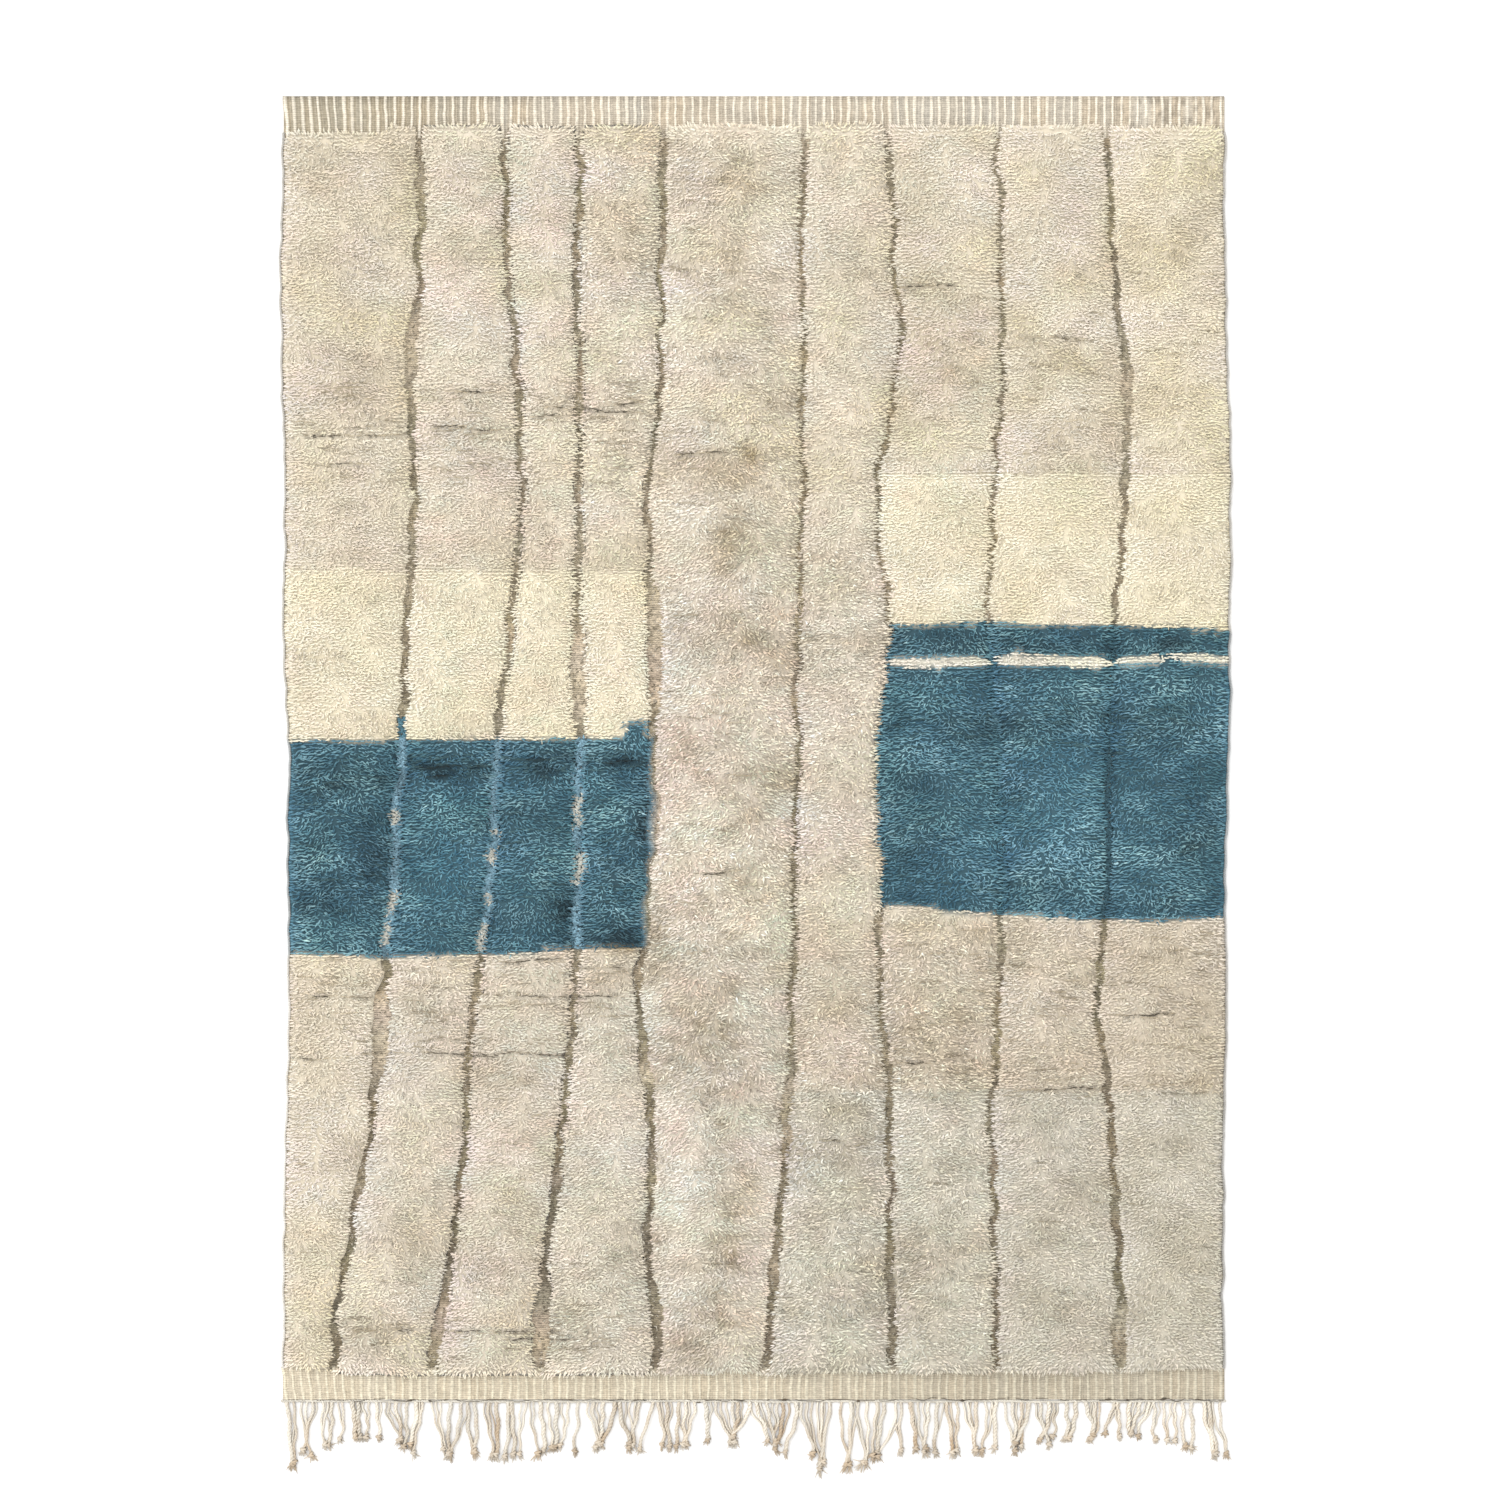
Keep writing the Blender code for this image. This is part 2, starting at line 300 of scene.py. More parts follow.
class NodeBook:
    """The node tree of one material."""

    def __init__(self, name: str, roughness: float, sheen: float) -> None:
        """Start a material with the settings that are the same all over it.

        Args:
            name: The material's name.
            roughness: How rough the surface is.
            sheen: How much soft light its fibres catch at the edge.
        """
        self.material = bpy.data.materials.new(name)
        self.material.use_nodes = True
        self.tree = self.material.node_tree
        self.shader = self.tree.nodes["Principled BSDF"]
        self.shader.inputs["Roughness"].default_value = roughness
        self.shader.inputs["Specular IOR Level"].default_value = 0.2
        self.shader.inputs["Sheen Weight"].default_value = sheen
        self.shader.inputs["Sheen Roughness"].default_value = 0.6

    def node(self, kind: str, settings: dict[str, object], **inputs: object) -> bpy.types.Node:
        """Add any node.

        Args:
            kind: The node's type.
            settings: What is set on the node itself, first.
            inputs: A value or a link for each named socket; an underscore stands for a space.

        Returns:
            The new node.
        """
        made = self.tree.nodes.new(kind)
        for name, setting in settings.items():
            setattr(made, name, setting)
        for name, given in inputs.items():
            self.feed(made.inputs[name.replace("_", " ")], given)
        return made

    def feed(self, socket: bpy.types.NodeSocket, given: object) -> None:
        """Link a value to a socket, or set a plain number or colour on it."""
        if isinstance(given, Value):
            self.tree.links.new(given.socket, socket)
        else:
            socket.default_value = given

    def out(self, node: bpy.types.Node, name: str) -> Value:
        """Return a node's output of this name."""
        return Value(self, node.outputs[name])

    def maths(self, operation: str, first: "Value | float", second: "Value | float") -> Value:
        """Add a Math node.

        Args:
            operation: Its operation.
            first: Its first input.
            second: Its second input.

        Returns:
            Its result.
        """
        made = self.node("ShaderNodeMath", {"operation": operation})
        self.feed(made.inputs[0], first)
        self.feed(made.inputs[1], second)
        return Value(self, made.outputs[0])

    def place(self, scale: Triple) -> Value:
        """Object coordinates, stretched.

        Args:
            scale: Repeats to the metre along each axis.

        Returns:
            The stretched place.
        """
        here = self.node("ShaderNodeTexCoord", {})
        turned = self.node("ShaderNodeMapping", {}, Vector=self.out(here, "Object"), Scale=scale)
        return self.out(turned, "Vector")

    def speckle(self, scale: Triple, detail: float) -> Value:
        """Cloudy noise around one half, of about one patch for each repeat."""
        place = self.place(scale)
        made = self.node("ShaderNodeTexNoise", {}, Vector=place, Scale=1.0, Detail=detail)
        return self.out(made, "Fac")

    def tint(self, colour: Value, strength: Value) -> Value:
        """Make a colour lighter or darker by a factor.

        Args:
            colour: The colour.
            strength: The factor, 1 for no change.

        Returns:
            The changed colour.
        """
        made = self.node("ShaderNodeVectorMath", {"operation": "SCALE"})
        self.feed(made.inputs[0], colour)
        self.feed(made.inputs["Scale"], strength)
        return self.out(made, "Vector")

    def yarn(self, channel: str = "Color") -> Value:
        """Return the yarn's stored colour, or how mottled it is as Alpha."""
        made = self.node("ShaderNodeAttribute", {"attribute_name": YARN_ATTRIBUTE})
        return self.out(made, channel)

    def finish(self, colour: Value, height: Value, depth: float) -> Finish:
        """Feed the shader.

        Args:
            colour: The base colour.
            height: The relief, in shares of depth.
            depth: The relief's depth in metres.

        Returns:
            The material.
        """
        bump = self.node("ShaderNodeBump", {}, Strength=1.0, Distance=depth, Height=height)
        self.feed(self.shader.inputs["Base Color"], colour)
        self.feed(self.shader.inputs["Normal"], self.out(bump, "Normal"))
        return self.material


@dataclass(frozen=True)
class PileWool:
    """Soft hand-spun wool: fine fibres along the row, with small light and dark flecks."""

    fibre: Triple = (300.0, 900.0, 600.0)
    fleck: Triple = (90.0, 330.0, 200.0)
    fibre_share: float = 0.11
    fleck_share: float = 0.13
    relief: float = 0.0006

    def material(self) -> Finish:
        """Return the finish of the pile."""
        book = NodeBook("wool_pile", roughness=0.9, sheen=0.15)
        fibre = book.speckle(self.fibre, 2.0)
        fleck = book.speckle(self.fleck, 3.0)
        shade = 1.0 + (fibre - 0.5) * self.fibre_share + (fleck - 0.5) * self.fleck_share
        return book.finish(book.tint(book.yarn(), shade), fibre + fleck * 0.6, self.relief)


@dataclass(frozen=True)
class WovenWool:
    """Tightly beaten weft yarns over hidden warps: fine ridges across the rug."""

    weft_repeat: float = 215.0
    warp_repeat: float = 170.0
    relief: float = 0.0012

    def material(self) -> Finish:
        """Return the finish of the ground weave."""
        book = NodeBook("woven_wool", roughness=0.92, sheen=0.1)
        drift = book.speckle((60.0, 90.0, 60.0), 2.0)
        place = book.node("ShaderNodeSeparateXYZ", {}, Vector=book.place((1.0, 1.0, 1.0)))
        weft = book.maths(
            "SINE", book.out(place, "Y") * (self.weft_repeat * math.tau) + drift * 9.0, 0.0
        )
        warp = book.maths("SINE", book.out(place, "X") * (self.warp_repeat * math.tau), 0.0)
        height = weft * 0.35 + weft * warp * 0.25 + book.speckle((500.0, 900.0, 500.0), 2.0) * 0.6
        # The noise is dust; the weft and warp terms, and the weft term in the shade below, are
        # painted shade on the ridges.
        dust_and_ridge_shade = (book.speckle((120.0, 170.0, 120.0), 4.0) - 0.5) * 2.2 + weft * 0.2
        dust_and_ridge_shade = dust_and_ridge_shade + warp * 0.06
        shade = 0.93 + weft * 0.05 + drift * 0.14 + dust_and_ridge_shade * book.yarn("Alpha")
        return book.finish(book.tint(book.yarn(), shade), height, self.relief)


@dataclass(frozen=True)
class PliedWool:
    """Plied warp yarn: fine hairs and slight stains along the ply."""

    relief: float = 0.0006

    def material(self) -> Finish:
        """Return the finish of the fringe and the hem."""
        book = NodeBook("warp_yarn", roughness=0.88, sheen=0.15)
        hair = book.speckle((900.0, 500.0, 900.0), 2.0)
        stain = book.speckle((45.0, 30.0, 45.0), 2.0)
        shade = 0.86 + hair * 0.16 + stain * 0.14
        return book.finish(book.tint(book.yarn(), shade), hair, self.relief)


# ---- the rug's plan


class Yarn(IntEnum):
    """The yarns that the pile is knotted from."""

    UNDYED = 0
    CREAM = 1
    BLUE = 2


@dataclass(frozen=True)
class Palette:
    """Linear colours of the yarns, as they look in soft light."""

    undyed_upper: Triple = linear(233, 221, 198)
    undyed_left: Triple = linear(228, 218, 197)
    undyed_middle: Triple = linear(220, 210, 192)
    undyed_right: Triple = linear(214, 206, 188)
    undyed_warm: Triple = linear(238, 226, 202)
    undyed_dark: Triple = linear(218, 204, 182)
    cream: Triple = linear(246, 235, 208)
    blue: Triple = linear(91, 133, 148)
    pale_blue: Triple = linear(127, 163, 179)
    stripe: Triple = linear(247, 241, 224)
    # The bare ground in the furrows: the darker colour where a furrow is narrow, as painted shade,
    # the paler where it is wide.
    furrow: Triple = linear(150, 139, 117)
    furrow_wide: Triple = linear(180, 167, 146)
    band_ground: Triple = linear(201, 189, 170)
    band_rib: Triple = linear(243, 233, 214)
    warp: Triple = linear(235, 230, 218)
    warp_stain: Triple = linear(194, 171, 141)
    # Partly a dark twining thread, partly painted shadow along the lower hem.
    hem_thread_and_shadow: Triple = linear(84, 74, 61)
    selvedge: Triple = linear(196, 194, 191)


@dataclass
class Plan:
    """Where the rug's edges and furrows lie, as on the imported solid."""

    upper_hem: float = 1.464
    lower_hem: float = -1.301
    band: float = 0.064
    rim_inset: float = 0.006
    drift: float = 0.006
    drift_pitch: float = 0.13
    edge_drift: float = 0.4
    # Smaller bends of a furrow and beads of its breadth: (pitch, how much), in metres.
    bends: Table = ((0.046, 0.0085), (0.019, 0.0042))
    beads: Table = ((0.038, 0.0036), (0.016, 0.0028))
    half: float = 0.0062
    half_drift: float = 0.0024
    least_half: float = 0.0018
    covered_breadth: float = 0.005
    # How much narrower each side of a furrow is, from the first furrow to the eighth, in tenths
    # of a millimetre: one row for each of the heights.
    heights: tuple[float, ...] = (-1.07, -0.8, -0.51, -0.1, 0.51, 0.82, 1.18)
    narrow: Table = (
        (2, -4, -13, -14, -18, -8, 18, -3),
        (5, 6, 2, -7, -6, 9, 4, -4),
        (-1, 1, 2, -9, 12, 2, 8, 3),
        (0, 0, 0, 0, 11, 0, 0, 0),
        (3, 17, 11, 12, 15, 19, 17, 12),
        (-1, 4, 10, 21, 18, 17, 12, 9),
        (-3, 6, 0, 3, 12, 11, 23, 4),
    )
    # How pale the bare ground is at those heights, and how much paler in each furrow.
    bare_heights: tuple[float, ...] = (0.9, 1.08, 1.28, 1.09, 1.45, 1.32, 1.38)
    bare_furrows: tuple[float, ...] = (-0.07, 0.06, 0.05, -0.05, 0.03, 0.0, 0.08, -0.09)
    # Every line's x in millimetres at even steps from the upper end to the lower one: the left
    # edge, the eight furrows and the right edge.
    lines_mm: Table = (
        (-1003, -1011, -1007, -1001, -1005, -994, -995, -993, -999, -1003, -1005),
        (-711, -713, -730, -727, -740, -755, -770, -793, -817, -867, -901),
        (-530, -528, -507, -498, -522, -549, -562, -598, -619, -643, -685),
        (-369, -382, -373, -375, -378, -373, -378, -386, -409, -443, -458),
        (-195, -199, -204, -229, -216, -216, -225, -248, -223, -225, -210),
        (102, 95, 102, 98, 93, 91, 83, 78, 66, 45, 21),
        (280, 293, 303, 252, 284, 255, 263, 263, 286, 282, 293),
        (511, 520, 520, 503, 496, 515, 524, 515, 501, 507, 513),
        (744, 757, 785, 781, 764, 747, 749, 728, 753, 770, 772),
        (995, 997, 1003, 1010, 1007, 1005, 997, 1001, 995, 993, 995),
    )
    # Wider stretches of a furrow: (furrow, its middle's y, half its length, breadth).
    open_stretches: Table = (
        (1, 0.93, 0.12, 0.024), (1, -0.52, 0.13, 0.033), (2, -1.16, 0.1, 0.024),
        (3, 0.24, 0.15, 0.03), (3, -1.14, 0.11, 0.034), (4, 0.31, 0.18, 0.032),
        (4, -0.07, 0.09, 0.022), (5, -0.66, 0.12, 0.021), (8, 0.86, 0.12, 0.021),
        (8, -1.16, 0.09, 0.029),
    )
    # Stretches where the pile closes over a furrow: (furrow, from y, to y, breadth left).
    closed_stretches: Table = (
        (1, -0.345, 0.14, 0.011), (2, -0.335, 0.09, 0.009), (3, -0.335, 0.098, 0.012),
        (6, -0.26, 0.345, 0.001), (7, -0.27, 0.1, 0.0015), (7, 0.1, 0.345, 0.004),
        (8, -0.275, 0.115, 0.007), (8, 0.115, 0.34, 0.002),
    )

    def __post_init__(self) -> None:
        """Sample every line and furrow along the field."""
        self.field_top = self.upper_hem - self.band
        self.field_end = self.lower_hem + self.band
        self.samples = np.linspace(self.field_end - 0.01, self.field_top + 0.01, 701)
        lines = range(len(self.lines_mm))
        self.line_samples = [np.array([self._line(k, y) for y in self.samples]) for k in lines]
        self.half_samples = [np.array([self._half(k, y) for y in self.samples]) for k in lines]

    def _line(self, index: int, y: float) -> float:
        """Return a line's x at one y."""
        share = (self.field_top - y) / (self.field_top - self.field_end)
        place = curve_through(self.lines_mm[index], share) / 1000
        lane = 5.0 * index
        step = self.drift * noise.noise(Vector((y / self.drift_pitch, lane, 0.0)))
        step += sum(most * noise.noise(Vector((y / fine, lane, 4.5))) for fine, most in self.bends)
        return place + step * (self.edge_drift if index in (0, self.panels) else 1.0)

    def _half(self, index: int, y: float) -> float:
        """Return half of a furrow's breadth at one y."""
        if index in (0, self.panels):
            return self.rim_inset
        lane = 5.0 * index
        half = self.half + self.half_drift * noise.noise(Vector((y / self.drift_pitch, lane, 9.0)))
        bead = sum(most * noise.noise(Vector((y / fine, lane, 2.5))) for fine, most in self.beads)
        column = [row[index - 1] * 1e-4 for row in self.narrow]
        half = half + bead - float(np.interp(y, self.heights, column))
        half = max(half, self.least_half)
        for furrow, middle, reach, breadth in self.open_stretches:
            off = abs(y - middle) / reach
            if furrow == index and off < 1.0:
                half = max(half, half + (breadth / 2 - half) * math.cos(off * math.pi / 2))
        for furrow, low, high, breadth in self.closed_stretches:
            if furrow == index:
                shut = min(max(min(y - low, high - y) / 0.02 + 0.5, 0.0), 1.0)
                half += (breadth / 2 - half) * shut
        return half

    def shut(self, index: int, y: Array) -> Array:
        """Return 1 where the pile closes over a furrow, by its number, and 0 elsewhere."""
        closed = np.zeros(len(y))
        for furrow, low, high, breadth in self.closed_stretches:
            if furrow == index and breadth < self.covered_breadth:
                closed = np.where((y > low) & (y < high), 1.0, closed)
        return closed

    def line(self, index: int, y: Array) -> Array:
        """Return the x of a line, by its number, at each y."""
        return np.interp(y, self.samples, self.line_samples[index])

    def bare_tone(self, x: Array, y: Array) -> Array:
        """Return how pale the bare ground is, as a factor, in the nearest furrow."""
        nearest, tone = np.full(np.shape(x), np.inf), np.zeros(np.shape(x))
        for index in range(1, self.panels):
            away = np.abs(x - self.line(index, y))
            tone = np.where(away < nearest, self.bare_furrows[index - 1], tone)
            nearest = np.minimum(away, nearest)
        return tone + np.interp(y, self.heights, self.bare_heights)

    def panel_edges(self, panel: int, y: Array) -> tuple[Array, Array]:
        """Find the sides of a panel of pile.

        Args:
            panel: The panel's number, from 0 at the left.
            y: Places along the rug.

        Returns:
            The x of its left and of its right side at each place.
        """
        left = self.line(panel, y) + np.interp(y, self.samples, self.half_samples[panel])
        right = self.line(panel + 1, y) - np.interp(y, self.samples, self.half_samples[panel + 1])
        return left, right

    @property
    def panels(self) -> int:
        """Return how many panels of pile there are."""
        return len(self.lines_mm) - 1

    def ends(self, station: int) -> tuple[float, float]:
        """Return the x of both side edges at the upper end, 0, or at the lower one, -1."""
        return self.lines_mm[0][station] / 1000, self.lines_mm[-1][station] / 1000


@dataclass
class Design:
    """Which yarn each knot is tied with: two blue blocks, a cream stripe and cream fields."""

    plan: Plan
    palette: Palette
    edge_wander: float = 0.0022
    batch_end: float = -0.645
    # How much the single tufts differ: one row for each of four zones, from the lower end up, and
    # one number for each panel.
    grains: Table = (
        (0.2, 0.5, 0.1, 0.8, 0.0, 1.3, 0.8, 0.8, 0.45),
        (0.2, 0.5, 0.1, 0.8, 0.45, 1.2, 1.6, 1.2, 0.6),
        (0.0, 0.0, 0.0, 0.0, 0.9, 1.5, 0.0, 0.0, 0.0),
        (0.1, 0.1, 0.1, 1.0, 0.45, 0.4, 0.1, 0.0, 0.0),
    )
    # Worn and dusty patches: (x, y, half breadth and half height in millimetres, how much paler or
    # darker in hundredths).
    patches: Table = (
        (-890, 1280, 50, 30, -10), (-300, 1250, 70, 60, -9), (-260, 1120, 60, 70, -6),
        (-20, 1330, 60, 60, -11), (-80, 1080, 60, 70, -8), (30, 1000, 50, 130, -8),
        (-20, 700, 90, 60, -9), (-40, 580, 50, 160, -10), (150, 260, 50, 60, -7),
        (-30, -30, 50, 90, -9), (-80, -420, 80, 80, -12), (-30, -570, 80, 60, -9),
        (-60, -970, 50, 100, -24), (-80, -510, 50, 40, -10), (-90, -1130, 50, 50, -19),
        (10, -760, 30, 100, 6), (-150, -950, 30, 120, 5), (240, -980, 40, 50, -6),
        (400, -470, 90, 60, -11), (600, -600, 90, 50, -8), (900, -630, 90, 25, -14),
        (400, 920, 80, 70, -13), (330, 780, 60, 50, -12), (580, 1080, 80, 20, -9),
        (-850, 830, 140, 20, -9), (-830, 660, 140, 20, -7), (-420, 800, 180, 35, -11),
        (-660, 680, 80, 20, -7), (-70, 710, 130, 20, -10), (-800, -1150, 200, 40, -13),
        (-360, -1170, 140, 30, -10), (-360, -410, 90, 30, -10), (180, -840, 60, 30, -6),
        (350, -940, 60, 50, -7), (-620, -900, 60, 100, -5), (-150, 800, 50, 120, 5),
        (180, 780, 40, 100, 5), (-650, 1000, 60, 120, 5), (-500, -750, 50, 220, -4),
        (-150, -330, 40, 80, 6), (-300, -750, 60, 150, 4), (-650, 33, 90, 16, -50),
        (-440, 46, 60, 22, -48), (-280, 55, 60, 9, -55), (-240, -60, 18, 60, -36),
        (-290, -320, 60, 22, -45), (-405, -270, 25, 40, -38), (-800, -170, 40, 80, -28),
        (-900, 20, 90, 30, -24), (-930, -250, 70, 30, -22), (-680, -240, 70, 70, 13),
        (-310, -40, 50, 50, 14), (-500, -120, 90, 60, 8), (600, 135, 240, 30, -27),
        (300, 150, 20, 30, -34), (320, -20, 50, 60, -24), (330, -170, 40, 80, -26),
        (930, -80, 50, 100, -20), (870, -245, 50, 20, -38), (650, -30, 100, 125, 26),
        (690, -210, 100, 35, -8), (757, 0, 16, 30, -30), (752, -140, 20, 40, -25),
        (750, -240, 18, 30, -25), (555, -15, 25, 22, -16), (555, -205, 35, 28, -18),
        (750, 67, 25, 6, -60), (630, 310, 600, 26, -25), (590, 310, 50, 12, -30),
        (870, 310, 40, 10, -30), (-50, 1170, 35, 180, -10), (-40, 420, 35, 150, -10),
        (-40, 140, 40, 100, -5), (-60, -750, 40, 120, -15), (370, -1030, 60, 80, -10),
        (140, -1050, 50, 100, -3), (620, -980, 70, 60, -6), (-300, -980, 50, 60, -8),
        (-470, -920, 50, 120, -8), (-890, -130, 120, 200, -12), (-280, -150, 50, 140, -19),
        (-660, -130, 80, 120, 17), (-640, 37, 75, 13, -26), (-420, 45, 45, 30, -24),
        (-300, 56, 60, 11, -20), (-235, -50, 16, 70, -20), (-400, -270, 20, 50, -24),
        (-300, -320, 65, 20, -22), (-800, 10, 45, 16, -20), (-450, -130, 70, 180, -4),
        (470, -140, 60, 100, 10), (820, -120, 50, 120, 8), (-50, 20, 140, 350, 5),
        (150, -950, 100, 280, 7), (640, -460, 110, 120, 5), (-900, -800, 80, 400, 4),
        (-520, -800, 90, 350, -5), (-160, -800, 40, 140, 7), (20, -980, 30, 140, 6),
        (-30, -590, 30, 30, -12), (-50, -430, 30, 40, -10), (440, 1280, 60, 60, 5),
        (460, 740, 50, 50, 4), (360, 1120, 30, 100, -7), (900, 1200, 60, 50, -5),
        (900, 900, 70, 40, -6),
    )
    patch_units: tuple[int, ...] = (1000, 1000, 1000, 1000, 100)

    def patina(self, x: Array, y: Array) -> Array:
        """Return how much paler or darker than its dye the wool is in its worn patches."""
        total = np.zeros(len(x))
        mottled = 0.8 + 0.9 * wander(x, y, 0.022, 0.014, 74) + 0.4 * wander(x, y, 0.05, 0.05, 75)
        patches = np.array(self.patches) / np.array(self.patch_units)
        for middle_x, middle_y, broad, high, change in patches:
            far = ((x - middle_x) / broad) ** 2 + ((y - middle_y) / high) ** 2
            total += change * np.exp(-0.8 * far)
        drift = 0.085 * wander(x, y, 0.115, 0.08, 76) + 0.065 * wander(x, y, 0.048, 0.03, 77)
        drift = drift + 0.05 * wander(x, y, 0.034, 0.009, 78)
        drift = drift * self.tousled(x, y)
        return np.where(total < 0, total * mottled, total) + drift - 0.2 * np.abs(drift)

    def tousled(self, x: Array, y: Array) -> Array:
        """Return how uneven the pile is: calm in the cream fields, rough down the middle."""
        plan = self.plan
        middle = (x > plan.line(4, y)) & (x < plan.line(5, y))
        low = ramp(-y, 0.25, 0.6)
        rough = 0.9 + 0.55 * middle * (0.6 + 0.8 * ramp(-y, -0.5, 0.3))
        rough = rough + 0.35 * low * (x > plan.line(5, y)) - 0.1 * (x < plan.line(1, y))
        rough = rough - 0.35 * low * (x > plan.line(7, y))
        return np.where(self.cream_field(x, y), 0.62, rough)

    def panel_at(self, x: Array, y: Array) -> Array:
        """Return each place's panel by its number."""
        return np.sum([x > self.plan.line(k, y) for k in range(1, self.plan.panels)], axis=0)

    def grain(self, x: Array, y: Array) -> Array:
        """Return how much the single tufts differ: most below the right block, from 0 up."""
        zone = (y > self.batch_end).astype(int) + (y > -0.27) + (y > 0.5)
        return np.array(self.grains)[zone, self.panel_at(x, y)]

    def _drift(self, x: Array, y: Array, seed: int) -> Array:
        """Return the small unevenness of a block's edge."""
        return self.edge_wander * (
            wander(x, y, 0.05, 0.05, seed) + 0.7 * wander(x, y, 0.013, 0.013, seed + 1)
        )

    def left_block(self, x: Array, y: Array) -> Array:
        """Say which knots are in the left blue block."""
        off = self._drift(x, y, 31)
        top = np.interp(x, (-1.0, -0.62, -0.24), (0.098, 0.1, 0.106)) + off
        places = (-1.0, -0.75, -0.55, -0.4, -0.23)
        end = np.interp(x, places, (-0.356, -0.361, -0.354, -0.348, -0.337))
        step = (x > -0.276 + off) & (x < -0.232) & (y > 0.09) & (y < 0.144 + off)
        side = self.plan.line(4, y)
        return (x < side) & (((y < top) & (y > end + off)) | step)

    def right_block(self, x: Array, y: Array) -> Array:
        """Say which knots are in the right blue block, its stripe included."""
        off = self._drift(x, y, 41)
        top = np.interp(x, (0.26, 0.5, 0.75, 1.0), (0.345, 0.35, 0.342, 0.335)) + off
        end = np.interp(x, (0.26, 0.35, 0.52, 0.84, 1.0), (-0.259, -0.252, -0.272, -0.284, -0.278))
        return (x > self.plan.line(6, y)) & (y < top) & (y > end + off)

    def stripe(self, x: Array, y: Array) -> Array:
        """Say which knots are in the thin cream stripe, which each furrow breaks."""
        seventh, eighth = self.plan.line(7, y), self.plan.line(8, y)
        middle = np.where(
            x < seventh,
            np.interp(x, (0.284, 0.369, 0.486), (0.2635, 0.2615, 0.266)),
            np.where(
                x < eighth,
                np.interp(x, (0.539, 0.624, 0.73), (0.271, 0.267, 0.262)),
                np.interp(x, (0.772, 0.857, 0.942, 1.0), (0.267, 0.274, 0.277, 0.271)),
            ),
        )
        side = self.plan.line(6, y) + 0.012
        apart = np.minimum(np.minimum(np.abs(x - seventh), np.abs(x - eighth)), x - side)
        places = (0.3, 0.48, 0.55, 0.7, 0.79, 1.0)
        half = np.interp(x, places, (0.0108, 0.0098, 0.0132, 0.0118, 0.008, 0.0072))
        half = half * (0.5 + 0.5 * ramp(apart, 0.004, 0.04))
        gap = (np.abs(x - seventh) < 0.009) | (np.abs(x - eighth) < 0.009)
        near = np.abs(y - middle + 0.5 * self._drift(x, y, 51)) < half
        return near & ~gap & (x > side)

    def cream_field(self, x: Array, y: Array) -> Array:
        """Say which knots are in the paler fields above the two blocks."""
        off = 0.006 * wander(x, y, 0.05, 0.05, 61)
        left = (x < self.plan.line(4, y)) & (y > 0.05) & (y < 0.46 + 1.5 * off)
        right = (x > self.plan.line(6, y)) & (y > 0.25) & (y < 0.664 + 0.5 * off)
        return left | right

    def yarn(self, x: Array, y: Array) -> Array:
        """Choose each knot's yarn.

        Args:
            x: Places across the rug.
            y: Places along the rug.

        Returns:
            One Yarn number for each place.
        """
        kind = np.where(self.cream_field(x, y), Yarn.CREAM, Yarn.UNDYED)
        kind = np.where(self.left_block(x, y) | self.right_block(x, y), Yarn.BLUE, kind)
        return np.where(self.stripe(x, y) & self.right_block(x, y), Yarn.CREAM, kind)

    def undyed(self, x: Array, y: Array) -> Array:
        """Return the undyed wool's colour, which changes from batch to batch."""
        p, plan = self.palette, self.plan

        def mix(colour: Array, other: Triple, share: Array) -> Array:
            """Blend in another batch of wool."""
            return colour + (np.array(other) - colour) * share[:, None]

        along = -y + 0.03 * wander(x, y, 0.4, 0.4, 71)
        lower = ramp(along, 0.0, 0.6)
        cut = y + 0.004 * wander(x, y, 0.1, 0.1, 72)
        right = x > plan.line(5, y)
        colour = np.tile(np.array(p.undyed_upper), (len(x), 1))
        colour = mix(colour, p.undyed_left, lower)
        colour = mix(colour, p.undyed_middle, lower * ramp(x, -0.5, 0.0))
        centre = (x > plan.line(4, y)) & (x < plan.line(6, y))
        colour = mix(colour, p.undyed_middle, 0.35 * centre * ramp(-y, -0.45, -0.3))
        colour = mix(colour, p.undyed_right, 1.0 * (right & (cut < self.batch_end)))
        colour = mix(colour, p.undyed_warm, 1.0 * ((x > plan.line(8, y)) & (y > 0.66)))
        number = self.panel_at(x, y)
        below = ramp(-y, -0.5, 0.0)
        red = np.array([0.02, 0.01, 0.01, 0.0, 0.008, 0.0, 0.0, 0.0, 0.0])[number] * below
        cool = np.array([-0.02, 0.025, 0.025, 0.025, 0.0, 0.0, 0.0, 0.01, 0.0])[number] * below
        cool = cool + 0.024 * ((number > 0) & (number < 6)) * ramp(y, 0.45, 0.6)
        middle = ramp(np.abs(y - 0.2), 0.4, 0.25) * ((number == 4) | (number == 5))
        colour = colour * (1 + np.stack([red, 0 * red, cool + 0.04 * middle], 1))
        dusty = right & (cut < -0.28) & (cut > self.batch_end)
        return mix(colour, p.undyed_dark, 0.75 * dusty)

    def colour(self, x: Array, y: Array) -> Array:
        """Choose each knot's colour.

        Args:
            x: Places across the rug.
            y: Places along the rug.

        Returns:
            One row of red, green and blue for each place.
        """
        kind = self.yarn(x, y)[:, None]
        colour = np.where(kind == Yarn.CREAM, np.array(self.palette.cream), self.undyed(x, y))
        colour = np.where(kind == Yarn.BLUE, np.array(self.palette.blue), colour)
        stripe = (self.stripe(x, y) & self.right_block(x, y))[:, None]
        colour = np.where(stripe, np.array(self.palette.stripe), colour)
        change = np.maximum(self.patina(x, y), -0.62)[:, None]
        fade = np.where(kind == Yarn.BLUE, np.array([1.0, 1.0, 1.0]), np.array([0.96, 1.09, 1.32]))
        return colour * (1 + change * fade)


# ---- the pile


